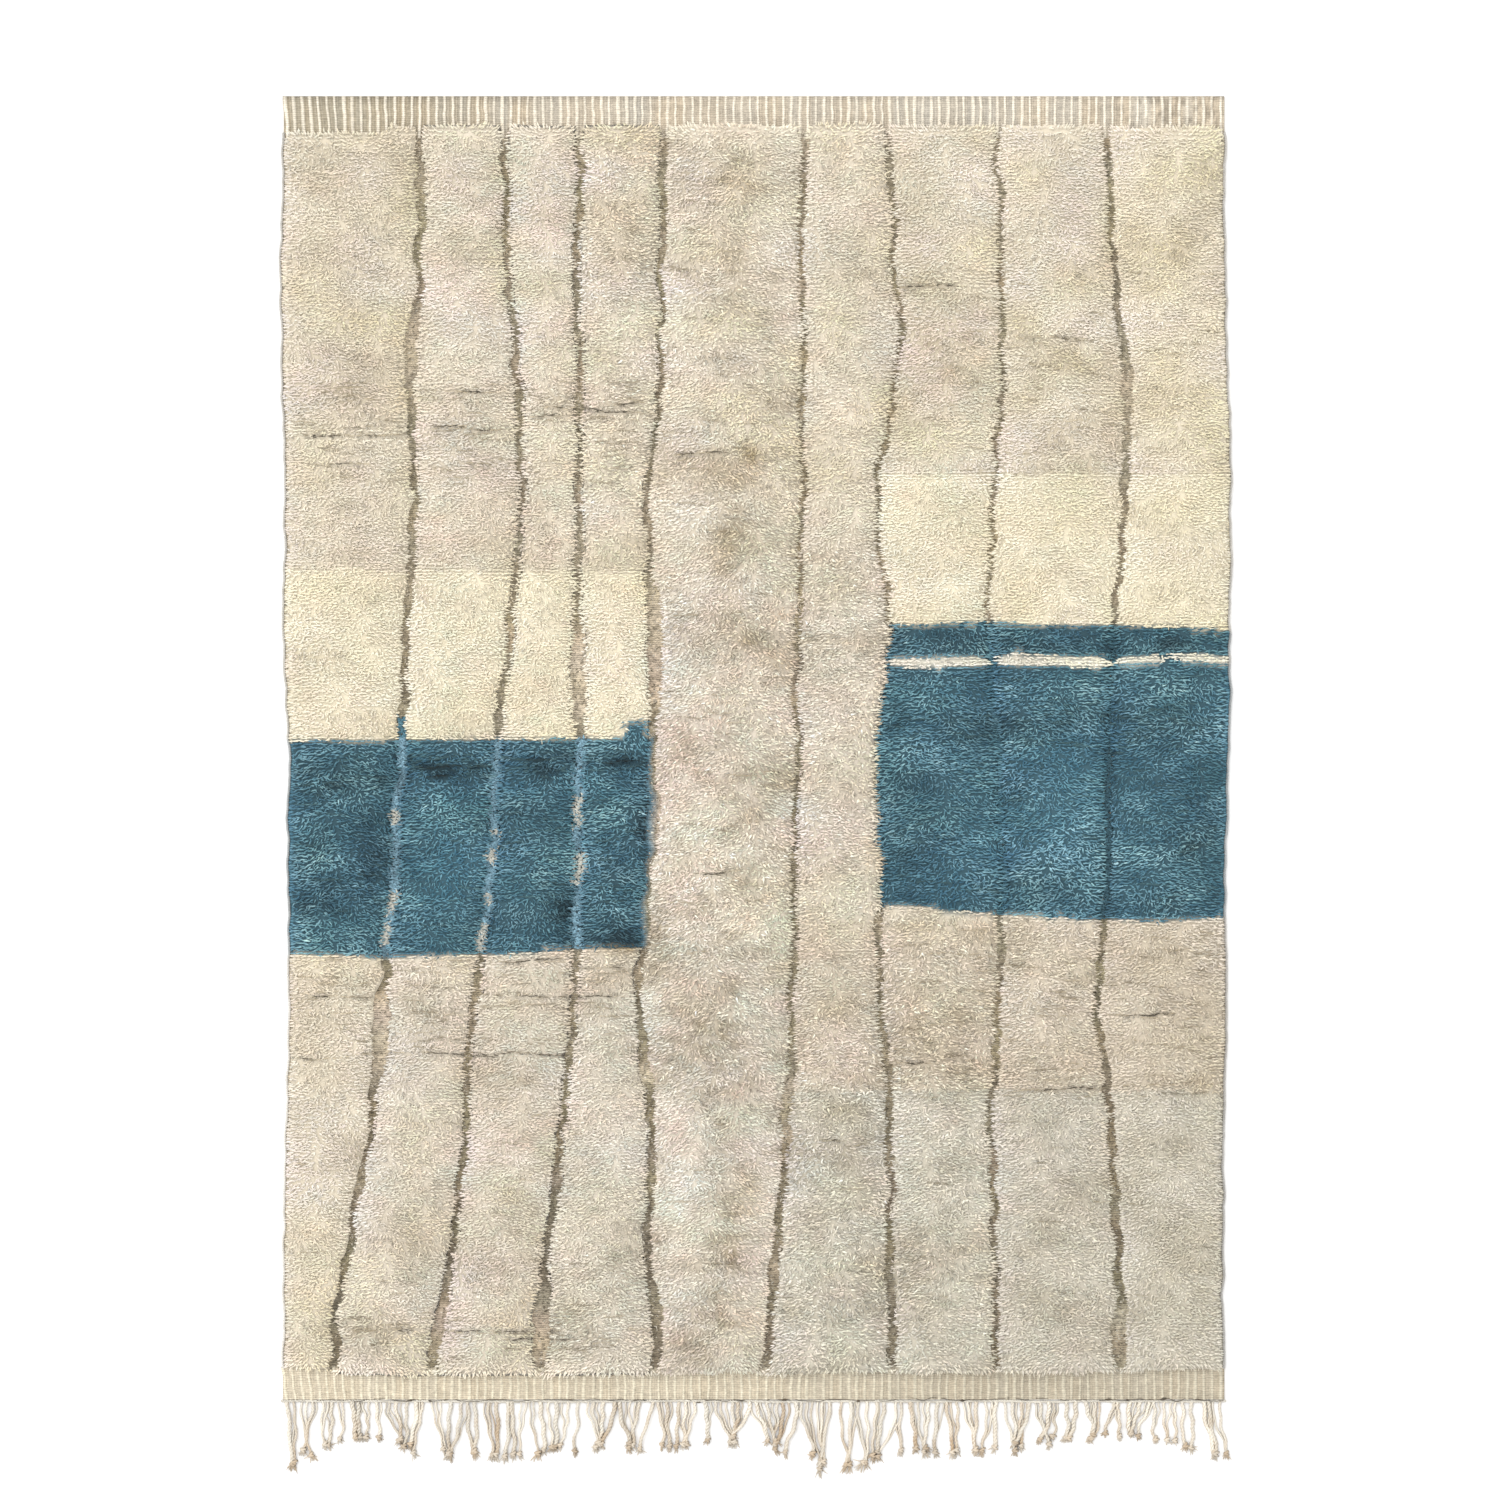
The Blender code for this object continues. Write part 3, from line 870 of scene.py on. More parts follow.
@dataclass
class Tufts:
    """Cut ends of wool yarn, each bent once and closed all round."""

    root: Array
    heading: Array
    lean: Array
    droop: Array
    length: Array
    half: Array
    colour: Array
    # How much darker the root, the shoulders and the tip are than the yarn: painted shade that
    # deepens towards the root.
    depth: Triple = (0.74, 0.97, 1.03)
    upward: float = 0.5
    least_bend: float = 0.25
    lower_share: float = 0.45
    upper_share: float = 0.6
    share_low: float = 0.08
    share_high: float = 1.0

    def points(self) -> Array:
        """Place the root, the two shoulders and the tip of each tuft."""
        level = np.zeros(len(self.root))
        ahead = np.stack([np.cos(self.heading), np.sin(self.heading), level], 1)
        side = np.stack([-ahead[:, 1], ahead[:, 0], level], 1)
        length, half = self.length[:, None], self.half[:, None]
        bend = np.maximum(self.droop, self.lean + self.least_bend)
        shoulder = self.root + self._along(ahead, self.lean) * length * self.lower_share
        tip = shoulder + self._along(ahead, bend) * length * self.upper_share
        places = [self.root, shoulder + side * half, shoulder - side * half, tip]
        return np.stack(places, 1).reshape(-1, 3)

    def _along(self, ahead: Array, angle: Array) -> Array:
        """Return the direction that leans ahead by an angle from upright."""
        return np.sin(angle)[:, None] * ahead + np.cos(angle)[:, None] * UP

    def build(self, name: str) -> Piece:
        """Build all tufts as one object with its colours and its flat map.

        Args:
            name: The object's name.

        Returns:
            The object.
        """
        count = len(self.root)
        pattern = np.array([[0, 2, 1], [3, 1, 2], [0, 1, 3], [0, 3, 2]])
        corners = (pattern[None] + 4 * np.arange(count)[:, None, None]).reshape(-1, 3)
        made = triangles_object(name, self.points(), corners)
        # Painted shade: each tuft is darker at its root and a little lighter at its tip.
        depth = np.array(self.depth)[[0, 1, 1, 2]]
        colour = np.clip(self.colour[:, None] * depth[None, :, None], 0.003, 0.97)
        set_yarn(made, colour.reshape(-1, 3))
        across = math.ceil(math.sqrt(count / 0.92))
        down = math.ceil(count / across)
        cell = np.stack([np.arange(count) % across, np.arange(count) // across], 1)
        low, shoulder, high = 0.08, 0.5, 0.92
        shape = np.array(
            [
                [[0.25, low], [0.42, shoulder], [0.08, shoulder]],
                [[0.25, high], [0.08, shoulder], [0.42, shoulder]],
                [[0.58, low], [0.5, shoulder], [0.7, high]],
                [[0.68, low], [0.8, high], [0.92, shoulder]],
            ]
        )
        size = np.array([1.0 / across, (self.share_high - self.share_low) / down])
        place = (cell[:, None, None] + shape[None]) * size + np.array([0.0, self.share_low])
        set_map(made, place.reshape(-1, 2))
        return made


def soften(piece: Piece, upward: float) -> None:
    """Turn a piece's normals partly upwards, as light spreads through soft wool.

    Args:
        piece: The piece.
        upward: The share of the upward direction.
    """
    mesh = piece.data
    mesh.shade_smooth()
    normal = read_all(mesh.vertex_normals, "vector", 3, np.float32) * (1 - upward)
    normal[:, 2] += upward
    normal /= np.maximum(np.linalg.norm(normal, axis=1), 1e-6)[:, None]
    mesh.normals_split_custom_set_from_vertices(normal)


@dataclass
class Spots:
    """Where the knots of one panel stand, and what acts on each of them."""

    panel: int
    x: Array
    y: Array
    # How far the nearest side of the panel is.
    near: Array
    # The push of the partings along the rug, how close they are, and how curly the wool is.
    push: Array
    close: Array
    curly: Array
    # How far the left, right, upper and lower side are, and how strongly each pulls outwards.
    sides: tuple[Array, ...]
    pull: list[Array]
    out_x: Array
    out_y: Array
    # How close to a side, how worn and whether blue.
    edge: Array
    worn: Array
    blue: Array


@dataclass
class Pile:
    """The knotted pile: nine panels, each a lumpy bed of wool under leaning tufts."""

    plan: Plan
    design: Design
    row_pitch: float = 0.0068
    knot_pitch: float = 0.00445
    foot: float = 0.0055
    bed_top: float = 0.017
    bed_slope: float = 0.013
    lump_rise: float = 0.0034
    lump_pitch: float = 0.11
    small_lump: float = 0.0013
    length: float = 0.015
    half_width: float = 0.00186
    bed_step: float = 0.017
    bare_rim: float = 0.0036
    bed_inset: float = 0.0042
    middle_panel: int = 4
    # How far the two bends of a tuft lean from upright, in degrees, and its least length.
    lean: float = 36.0
    droop: float = 72.0
    shortest: float = 0.0045
    # How far a side turns the tufts and how far its painted light, shade and flank shade reach.
    turned: float = 0.012
    lit: float = 0.03
    shaded: float = 0.026
    flank: float = 0.006
    # How far the painted shade on the cooler outer rim and the changed last rows reach.
    painted_rim_shade: float = 0.008
    last_rows: float = 0.022
    # The short painted shadow lines where rows part: their spacing, their height and how they lie.
    parting_step: float = 0.0035
    crack_step: float = 0.0045
    crack_rise: float = 0.0064
    crack_lean: float = 80.0
    crack_droop: float = 98.0
    # How strongly the hue drifts between rose and grey in each panel.
    rosy: tuple[float, ...] = (0.7, 1.2, 1.3, 1.2, 0.9, 1.0, 1.0, 0.7, 0.3)
    # How much further the wool reaches over each furrow, from the first to the eighth, in tenths
    # of a millimetre: one row for each of the plan's heights.
    closing: Table = (
        (-2, 8, 3, -9, 6, 18, 42, -2),
        (0, 16, 15, -5, 14, 30, 33, -2),
        (-5, 12, 15, -4, 28, 26, 34, 2),
        (-4, 10, 12, 2, 29, 24, 28, 0),
        (0, 23, 21, 11, 33, 40, 42, 11),
        (-4, 15, 21, 19, 34, 39, 39, 7),
        (-5, 16, 14, 5, 30, 34, 46, 4),
    )
    # Thin partings where the rows fall apart: (from x, to x, y).
    partings: Table = (
        (-0.97, -0.72, 0.745), (-0.95, -0.8, 0.69), (-0.7, -0.54, 0.76), (-0.48, -0.4, 0.782),
        (-0.45, -0.24, 0.8), (-0.35, -0.23, 0.812), (-0.18, 0.04, 0.705), (-0.72, -0.55, 0.838),
        (-0.98, -0.8, -0.445), (-0.55, -0.4, -0.366), (-0.4, -0.26, -0.385), (-0.52, -0.28, -0.445),
        (-0.85, -0.38, -0.566), (-0.78, -0.4, -1.15), (-0.55, -0.3, -1.17), (0.29, 0.39, -0.585),
        (0.54, 0.74, -0.64), (0.76, 0.9, -0.485), (-0.98, -0.86, -0.575), (0.13, 0.2, -0.748),
        (-0.15, -0.02, -0.18), (0.3, 0.48, 1.06), (0.55, 0.7, 0.955), (-0.73, -0.55, 0.042),
        (-0.72, -0.57, 0.026), (-0.34, -0.23, 0.057), (-0.52, -0.42, 0.062), (0.72, 0.79, 0.07),
    )
    # Where short cracks between the rows get painted shadow lines: (from x, to x, from y, to y, how
    # many).
    cracks: Table = (
        (-0.98, -0.24, -0.56, -0.36, 90), (-0.98, -0.2, 0.64, 0.86, 90),
        (-0.2, 0.1, -0.4, 1.35, 90), (-0.85, -0.25, -1.21, -1.1, 40), (0.28, 0.98, -0.66, -0.3, 90),
        (0.28, 0.98, 0.66, 1.1, 70), (-0.98, 0.98, -1.1, -0.66, 60), (-0.96, -0.25, -0.3, 0.09, 90),
        (-0.75, -0.25, 0.03, 0.075, 50), (0.3, 0.98, -0.24, 0.24, 90), (0.3, 0.98, 0.09, 0.19, 60),
    )

    def parting_line(self, k: int, x: Array) -> tuple[Array, Array]:
        """Trace one parting.

        Args:
            k: The parting's place in the table.
            x: Places across the rug.

        Returns:
            Its y at each place, and how open it is there, from 0 to 1.
        """
        start, stop, level = self.partings[k]
        lane = k * 3.1
        here = level + 0.006 * wander_along(x, 0.07, 91, lane)
        here = here + 0.0025 * wander_along(x, 0.018, 92, lane)
        fade = ramp(x, start, start + 0.03) * (1 - ramp(x, stop - 0.03, stop))
        return here, fade * ramp(wander_along(x, 0.035, 93, lane), -0.75, 0.1)

    def parting_shadows(self, panel: int) -> Tufts:
        """Paint the shadow where the rows part, as short dark lines along the row.

        Args:
            panel: The panel's number, from 0 at the left.

        Returns:
            The dark lines.
        """
        rng = np.random.default_rng(Seed.FEET + panel)
        every = np.random.default_rng(Seed.CRACKS)
        spots = []
        for k, (start, stop, _) in enumerate(self.partings):
            x = np.arange(start, stop, self.parting_step)
            here, open_share = self.parting_line(k, x)
            spots.append(np.stack([x, here, 1.05 * open_share], 1)[open_share > 0.2])
        for low_x, high_x, low_y, high_y, count in self.cracks:
            middle_x = every.uniform(low_x, high_x, count)
            middle_y = every.uniform(low_y, high_y, count)
            reach, slope = every.uniform(0.006, 0.026, count), every.normal(0, 0.1, count)
            for x, y, r, rise in zip(middle_x, middle_y, reach, slope):
                along = np.arange(-r, r, self.crack_step)
                depth = np.full(len(along), every.uniform(0.35, 0.75))
                spots.append(np.stack([x + along, y + rise * along, depth], 1))
        x, y, depth = np.concatenate(spots).T
        inside = np.min(self.inside(panel, x, y), axis=0)
        x, y, depth, inside = (part[inside > 0.008] for part in (x, y, depth, inside))
        count = len(x)
        y = y + rng.normal(0, 0.0004, count)
        z = self.bed_height(x, y, inside) + self.crack_rise + rng.normal(0, 0.0008, count)
        heading = np.where(rng.uniform(0, 1, count) < 0.5, 0.0, np.pi) + rng.normal(0, 0.1, count)
        # Painted shadow: each line is the yarn's colour, darkened by how deep the parting is.
        dark = np.minimum(depth * rng.uniform(0.65, 0.95, count), 0.9)
        colour = self.design.colour(x, y) * (1 - dark)[:, None]
        return Tufts(
            np.stack([x, y, z], 1),
            heading,
            lean=np.radians(self.crack_lean + rng.normal(0, 5, count)),
            droop=np.radians(self.crack_droop + rng.normal(0, 5, count)),
            length=rng.uniform(0.008, 0.013, count),
            half=rng.uniform(0.0007, 0.0013, count) * (0.6 + 0.6 * depth),
            colour=colour * np.array([1.0, 0.95, 0.84]),
            share_low=0.98,
        )

    def bed_height(self, x: Array, y: Array, inside: Array) -> Array:
        """Return the height of the wool bed.

        Args:
            x: Places across the rug.
            y: Places along the rug.
            inside: How far each place is from its panel's nearest side.

        Returns:
            Heights above the floor.
        """
        lump = wander(x, y, self.lump_pitch, self.lump_pitch, 80)
        full = self.bed_top + 0.7 * self.lump_rise * lump
        full = full + self.small_lump * wander(x, y, 0.034, 0.026, 81)
        return self.foot + (full - self.foot) * ramp(inside, -0.004, self.bed_slope)

    def inside(self, panel: int, x: Array, y: Array) -> tuple[Array, ...]:
        """Return each place's distance from its panel's left, right, upper and lower side."""
        left, right = self.plan.panel_edges(panel, y)
        closed = 0.011 * ramp(-y, -0.012 - self.plan.field_end, -self.plan.field_end)
        left, right = left - closed * (panel > 0), right + closed * (panel < self.plan.panels - 1)
        top, end = self.borders(x)
        return x - left, right - x, top - y, y - end

    def borders(self, x: Array) -> tuple[Array, Array]:
        """Return the y at which the pile starts and ends over the flat-woven ends."""
        scallop = 0.0045 * wander_along(x, 0.03, 82) + 0.003 * wander_along(x, 0.012, 79)
        top = self.plan.field_top + scallop + 0.0056 - 0.0166 * ramp(-x, 0.775, 0.79)
        top = top - 0.005 * ramp(x, 0.76, 0.8)
        places = (-0.92, -0.9, -0.6, -0.05, 0.63, 0.88)
        drop = np.interp(x, places, (0.0, -0.012, -0.014, -0.01, -0.008, -0.001))
        return top, self.plan.field_end + scallop + drop

    def bed(self, panel: int) -> Piece:
        """Build the lumpy bed of one panel, closed underneath.

        Args:
            panel: The panel's number, from 0 at the left.

        Returns:
            The bed.
        """
        plan = self.plan
        halfway = len(plan.samples) // 2
        breadth = np.ptp([plan.line_samples[k][halfway] for k in (panel, panel + 1)])
        columns = round(breadth / self.bed_step) + 2
        rows = round((plan.field_top - plan.field_end) / self.bed_step) + 2
        made, column, row = grid_object(f"pile_panel_{panel + 1}", columns, rows)
        y = plan.field_end + (plan.field_top - plan.field_end) * row / (rows - 1)
        left, right = plan.panel_edges(panel, y)
        left, right = left + self.bed_inset, right - self.bed_inset
        x = left + (right - left) * column / (columns - 1)
        top, end = self.borders(x)
        y = end + (top - end) * row / (rows - 1)
        near = np.min(self.inside(panel, x, y), axis=0) - self.bed_inset
        z = self.bed_height(x, y, near)
        move_points(made, np.stack([x, y, z], 1))
        select(made)
        bpy.ops.object.mode_set(mode="EDIT")
        bpy.ops.mesh.select_all(action="SELECT")
        bpy.ops.mesh.region_to_loop()
        down = (0.0, 0.0, -self.foot / 2)
        bpy.ops.mesh.extrude_edges_move(TRANSFORM_OT_translate={"value": down})
        bpy.ops.transform.resize(value=(1.0, 1.0, 0.0))
        bpy.ops.mesh.edge_face_add()
        bpy.ops.mesh.select_all(action="SELECT")
        bpy.ops.mesh.quads_convert_to_tris()
        bpy.ops.mesh.normals_make_consistent(inside=False)
        bpy.ops.object.mode_set(mode="OBJECT")
        facing = read_all(made.data.polygons, "normal", 3, np.float32)
        if np.median(facing[: (rows - 1) * (columns - 1), 2]) < 0:
            made.data.flip_normals()
        place = points_of(made)
        blue = (self.design.yarn(place[:, 0], place[:, 1]) == Yarn.BLUE)[:, None]
        # Painted shade: the bed between the tufts is darker than their yarn, much darker under the
        # blue.
        shade = np.where(blue, 0.42, 0.87)
        set_yarn(made, shade * self.design.colour(place[:, 0], place[:, 1]))
        corner = read_all(made.data.loops, "vertex_index", 1, np.int32)
        across = (place[:, 0] - place[:, 0].min()) / np.ptp(place[:, 0])
        along = (place[:, 1] - place[:, 1].min()) / np.ptp(place[:, 1])
        set_map(made, np.stack([along, across * 0.07], 1)[corner])
        return made

    def pinch(self, index: int, y: Array) -> Array:
        """Return how much further the wool reaches over a furrow, by its number, at each y."""
        if not 0 < index < self.plan.panels:
            return np.zeros(len(y))
        lane = np.full(len(y), index * 5.3)
        narrow = 0.0036 * ramp(wander(lane, y, 1.0, 0.019, 99), 0.15, 0.75)
        column = [row[index - 1] * 1e-4 for row in self.closing]
        return narrow + np.interp(y, self.plan.heights, column)

    def part_rows(self, x: Array, y: Array) -> tuple[Array, Array]:
        """Find how the partings push the tufts.

        Args:
            x: Knots' places across the rug.
            y: Knots' places along the rug.

        Returns:
            The push along the rug, from -1 to 1, and how close each knot is to a parting.
        """
        push, close = np.zeros(len(x)), np.zeros(len(x))
        for k in range(len(self.partings)):
            here, fade = self.parting_line(k, x)
            off = y - here
            push += np.sign(off) * fade * np.exp(-np.abs(off) / 0.005)
            close = np.maximum(close, fade * np.exp(-((off / 0.0028) ** 2)))
        return push, close

    def spots(self, panel: int, rng: Source) -> Spots:
        """Choose where the knots of one panel stand, unevenly along its rows.

        Args:
            panel: The panel's number, from 0 at the left.
            rng: The source of unevenness.

        Returns:
            The knots' places.
        """
        plan = self.plan
        reach = [plan.line_samples[k] for k in (panel, panel + 1)]
        x = np.arange(reach[0].min(), reach[1].max(), self.knot_pitch)
        y = np.arange(plan.field_end - 0.019, plan.field_top + 0.011, self.row_pitch)
        x, y = (grid.ravel() for grid in np.meshgrid(x, y))
        uneven = 0.7 if panel == self.middle_panel else 0.45
        x = x + rng.uniform(-0.45, 0.45, len(x)) * self.knot_pitch
        y = y + rng.uniform(-0.5, 0.5, len(x)) * self.row_pitch * uneven
        y = y + 0.002 * wander(x, y, 0.11, 0.11, 83)
        near = np.min(self.inside(panel, x, y), axis=0)
        push, close = self.part_rows(x, y)
        curly = ramp(wander(x, y, 0.06, 0.045, 94), 0.42, 0.62)
        rim = self.bare_rim * (1 - 0.8 * np.maximum(plan.shut(panel, y), plan.shut(panel + 1, y)))
        kept = (near > rim) & (rng.uniform(0, 1, len(x)) > 0.1 * curly)
        x, y, near, push, close, curly = (v[kept] for v in (x, y, near, push, close, curly))
        sides = self.inside(panel, x, y)
        pull = [np.exp(-side / self.turned) for side in sides]
        out_x, out_y = pull[1] - pull[0], pull[2] - pull[3]
        edge = np.clip(np.hypot(out_x, out_y), 0, 1)
        worn = np.clip(-4.0 * self.design.patina(x, y), 0, 1)
        blue = self.design.yarn(x, y) == Yarn.BLUE
        return Spots(
            panel, x, y, near, push, close, curly, sides, pull, out_x, out_y, edge, worn, blue
        )

    def headings(self, at: Spots, rng: Source) -> Array:
        """Turn the tufts: along the row, fanned over the panel and outwards at its sides.

        Args:
            at: The knots' places.
            rng: The source of unevenness.

        Returns:
            Angles from +X.
        """
        x, y, count = at.x, at.y, len(at.x)
        fan = (at.sides[0] - at.sides[1]) / (at.sides[0] + at.sides[1])
        sway = 1.6 * fan + 1.5 * wander(x, y, 0.05, 0.035, 84) + rng.normal(0, 0.5, count)
        mixed = at.curly + 0.35 * (at.panel == self.middle_panel) + 0.3 * at.worn
        mixed = np.minimum(mixed, 1.0)
        angle = np.pi / 2 * np.tanh(3.0 * sway) * (1 - 0.6 * mixed) + rng.normal(0, 0.32, count)
        flow_x, flow_y = np.sin(angle), -0.65 * np.cos(angle) - 0.08
        kinds = [self.design.yarn(x, y + step) for step in (-0.008, 0.008)]
        border = kinds[0] != kinds[1]
        flow_y = flow_y * np.where(border, 0.1, 1.0)
        flow_x, flow_y = flow_x * (1 - at.edge), flow_y * (1 - at.edge) + 1.1 * at.push
        heading = np.arctan2(flow_y + 1.7 * at.out_y, flow_x + 1.7 * at.out_x)
        return heading + rng.normal(0, np.where(border, 0.08, 0.2 + 0.5 * at.curly), count)

    def lengths(self, at: Spots, rng: Source) -> Array:
        """Cut the tufts, shorter where they would reach too far over a side of their panel.

        Args:
            at: The knots' places.
            rng: The source of unevenness.

        Returns:
            The tufts' lengths.
        """
        plan, panel, x, y = self.plan, at.panel, at.x, at.y
        length = self.length * rng.normal(1.0, 0.13, len(x))
        outer = [panel == 0, panel == plan.panels - 1, False, False]
        rim = [0.0036 if side else 0.0016 for side in outer[:2]] + [0.005, 0.005]
        ragged = 0.0042 * wander(x, y, 0.06, 0.014, 95) + 0.0024 * wander(x, y, 0.03, 0.006, 98)
        ragged = ragged + rng.normal(0, 0.0013, len(x))
        pinch = [self.pinch(panel + k, y) for k in (0, 1)] + [0.0, 0.0]
        shut = (0.003 * plan.shut(panel, y), 0.006 * plan.shut(panel + 1, y), 0.0, 0.0)
        for k, (side, weight, beyond) in enumerate(zip(at.sides, at.pull, rim)):
            uneven = ragged * (0.25 if outer[k] else 1.0)
            allowed = (side + (beyond + shut[k]) + uneven + pinch[k]) / 0.92
            allowed = np.maximum(allowed, self.shortest)
            length = np.where(weight > 0.3, np.minimum(length, allowed), length)
        return length * (1 - 0.5 * at.close)

    def streaks(self, at: Spots) -> Array:
        """Return how much lighter or darker than its dye the wool is, in streaks and patches."""
        x, y = at.x, at.y
        streak, dash = wander(x, y, 0.03, 0.005, 86), wander(x, y, 0.011, 0.0036, 89)
        patch = wander(x, y, 0.055, 0.04, 87) + 0.7 * wander(x, y, 0.13, 0.1, 88)
        wool = 0.06 * streak + 0.03 * dash + 0.05 * at.edge
        dyed = 0.28 * streak + 0.26 * dash + 0.38 * patch + 0.05
        return np.where(at.blue, dyed, wool)

    def shades(self, at: Spots, rng: Source) -> Array:
        """Colour the tufts: their dye, its unevenness, and painted light and shade at the sides,
        rim and partings.

        Args:
            at: The knots' places.
            rng: The source of unevenness.

        Returns:
            One row of red, green and blue for each tuft.
        """
        plan, design, panel = self.plan, self.design, at.panel
        x, y, sides, curly, worn, blue = at.x, at.y, at.sides, at.curly, at.worn, at.blue
        count = len(x)
        rough, grain = design.tousled(x, y), design.grain(x, y)
        loose = 0.054 * rough**1.5 + 0.09 * worn + 0.075 * grain
        last = np.exp(-((np.maximum(sides[3], 0) / self.last_rows) ** 2))
        loose = loose * (1 - 0.85 * last * ramp(-x, -0.4, 0.3))
        tone = self.streaks(at)
        tone = tone + last * (0.17 * ramp(-x, 0.1, 0.5) - 0.09 * ramp(x, 0.45, 0.7))
        tone = tone + rng.normal(0, 1, count) * np.where(blue, 0.15, loose)
        few = 0.006 + 0.1 * curly + 0.06 * worn + 0.05 * np.maximum(rough - 0.95, 0) + 0.02 * grain
        few = few + 0.085 * blue
        tone = tone - 0.42 * (rng.uniform(0, 1, count) < few) + 0.035 * blue
        # Painted shadow: tufts beside a parting are darker.
        tone = tone - 0.8 * at.close

        # Painted light on each panel's left side, painted shade on its right side, and painted
        # shade on the pile's flanks near both sides.
        lit, shaded = np.exp(-sides[0] / self.lit), np.exp(-sides[1] / self.shaded)
        lit = lit * (0.75 + 0.6 * wander(x, y, 0.2, 0.09, 101))
        first, final = panel == 0, panel == plan.panels - 1
        outside = sides[0] if first else sides[1] if final else np.full(count, 1.0)
        # Painted shade on the rug's outer rim: greyer and darker where the pile falls away at the
        # long edges.
        cool = np.exp(-outside / self.painted_rim_shade)
        lit = lit * (1 - (0.8 * cool if first else 0.0) * ramp(y, -0.5, -0.3))
        flank = sum(np.exp(-side / self.flank) for side in sides[:2]) * (1 - cool)
        tone = tone + np.where(blue, 0.1 * lit, 0.085 * lit - 0.035 * shaded - 0.12 * flank)
        tone = tone - (0.06 * ramp(y, -0.5, -0.3) if first else 0.0) * cool

        yellow = 0.06 + 0.045 * ramp(y, 0.55, 0.75)
        corner = 0.035 * (x < plan.line(3, y)) - 0.04 * (x > plan.line(6, y))
        yellow = yellow + corner * ramp(-y, 0.4, 0.8)
        rosy = self.rosy[panel] + 0.8 * (panel == self.middle_panel) * ramp(-y, -0.6, -0.3)
        red = rosy * (0.045 * wander(x, y, 0.07, 0.06, 96) + 0.035 * wander(x, y, 0.03, 0.02, 94))
        red = red + 0.012 * rng.normal(0, 1, count) - 0.008 - 0.04 * cool
        cold = yellow * wander(x, y, 0.1, 0.08, 97) + 0.02 * rng.normal(0, 1, count)
        # The painted light is bluer, the painted shade warmer, and the painted rim shade bluer
        # still.
        cold = cold + 0.1 * lit - 0.03 * shaded + 0.13 * cool
        hue = np.stack([red, np.zeros(count), cold], 1)
        grey = np.where(blue, 0.34, 0.0)[:, None] * np.array([1.0, 0.0, -0.5])
        return design.colour(x, y) * np.exp(tone[:, None] * (1 + grey)) * (1 + hue)

    def knots(self, panel: int) -> Tufts:
        """Tie the knots of one panel.

        Args:
            panel: The panel's number, from 0 at the left.

        Returns:
            The panel's tufts.
        """
        rng = np.random.default_rng(Seed.KNOTS + panel)
        at = self.spots(panel, rng)
        count = len(at.x)
        heading = self.headings(at, rng)
        lean = np.radians(self.lean + 10 * at.edge - 10 * at.curly + rng.normal(0, 7, count))
        droop = np.radians(self.droop + 18 * at.edge - 14 * at.curly + rng.normal(0, 8, count))
        length = self.lengths(at, rng)
        half = self.half_width * rng.uniform(0.7, 1.25, count) * np.where(at.blue, 0.8, 1.0)
        z = self.bed_height(at.x, at.y, at.near) - 0.0016 - 0.0015 * at.curly - 0.001 * at.close
        root, colour = np.stack([at.x, at.y, z], 1), self.shades(at, rng)
        return Tufts(root, heading, lean, droop, length, half, colour, share_high=0.98)

    def build(self, finish: Finish) -> list[Piece]:
        """Build and dress every panel.

        Args:
            finish: The wool's finish.

        Returns:
            The panels, from left to right.
        """
        made = []
        for panel in range(self.plan.panels):
            bed = self.bed(panel)
            tufts, parting_shadows = self.knots(panel), self.parting_shadows(panel)
            parts = [bed, tufts.build("tufts"), parting_shadows.build("parting_shadows")]
            piece = join(f"pile_panel_{panel + 1}", parts)
            soften(piece, tufts.upward)
            piece.data.materials.clear()
            piece.data.materials.append(finish)
            LOG.info("%s: %d tufts", piece.name, len(tufts.root))
            made.append(piece)
        return made


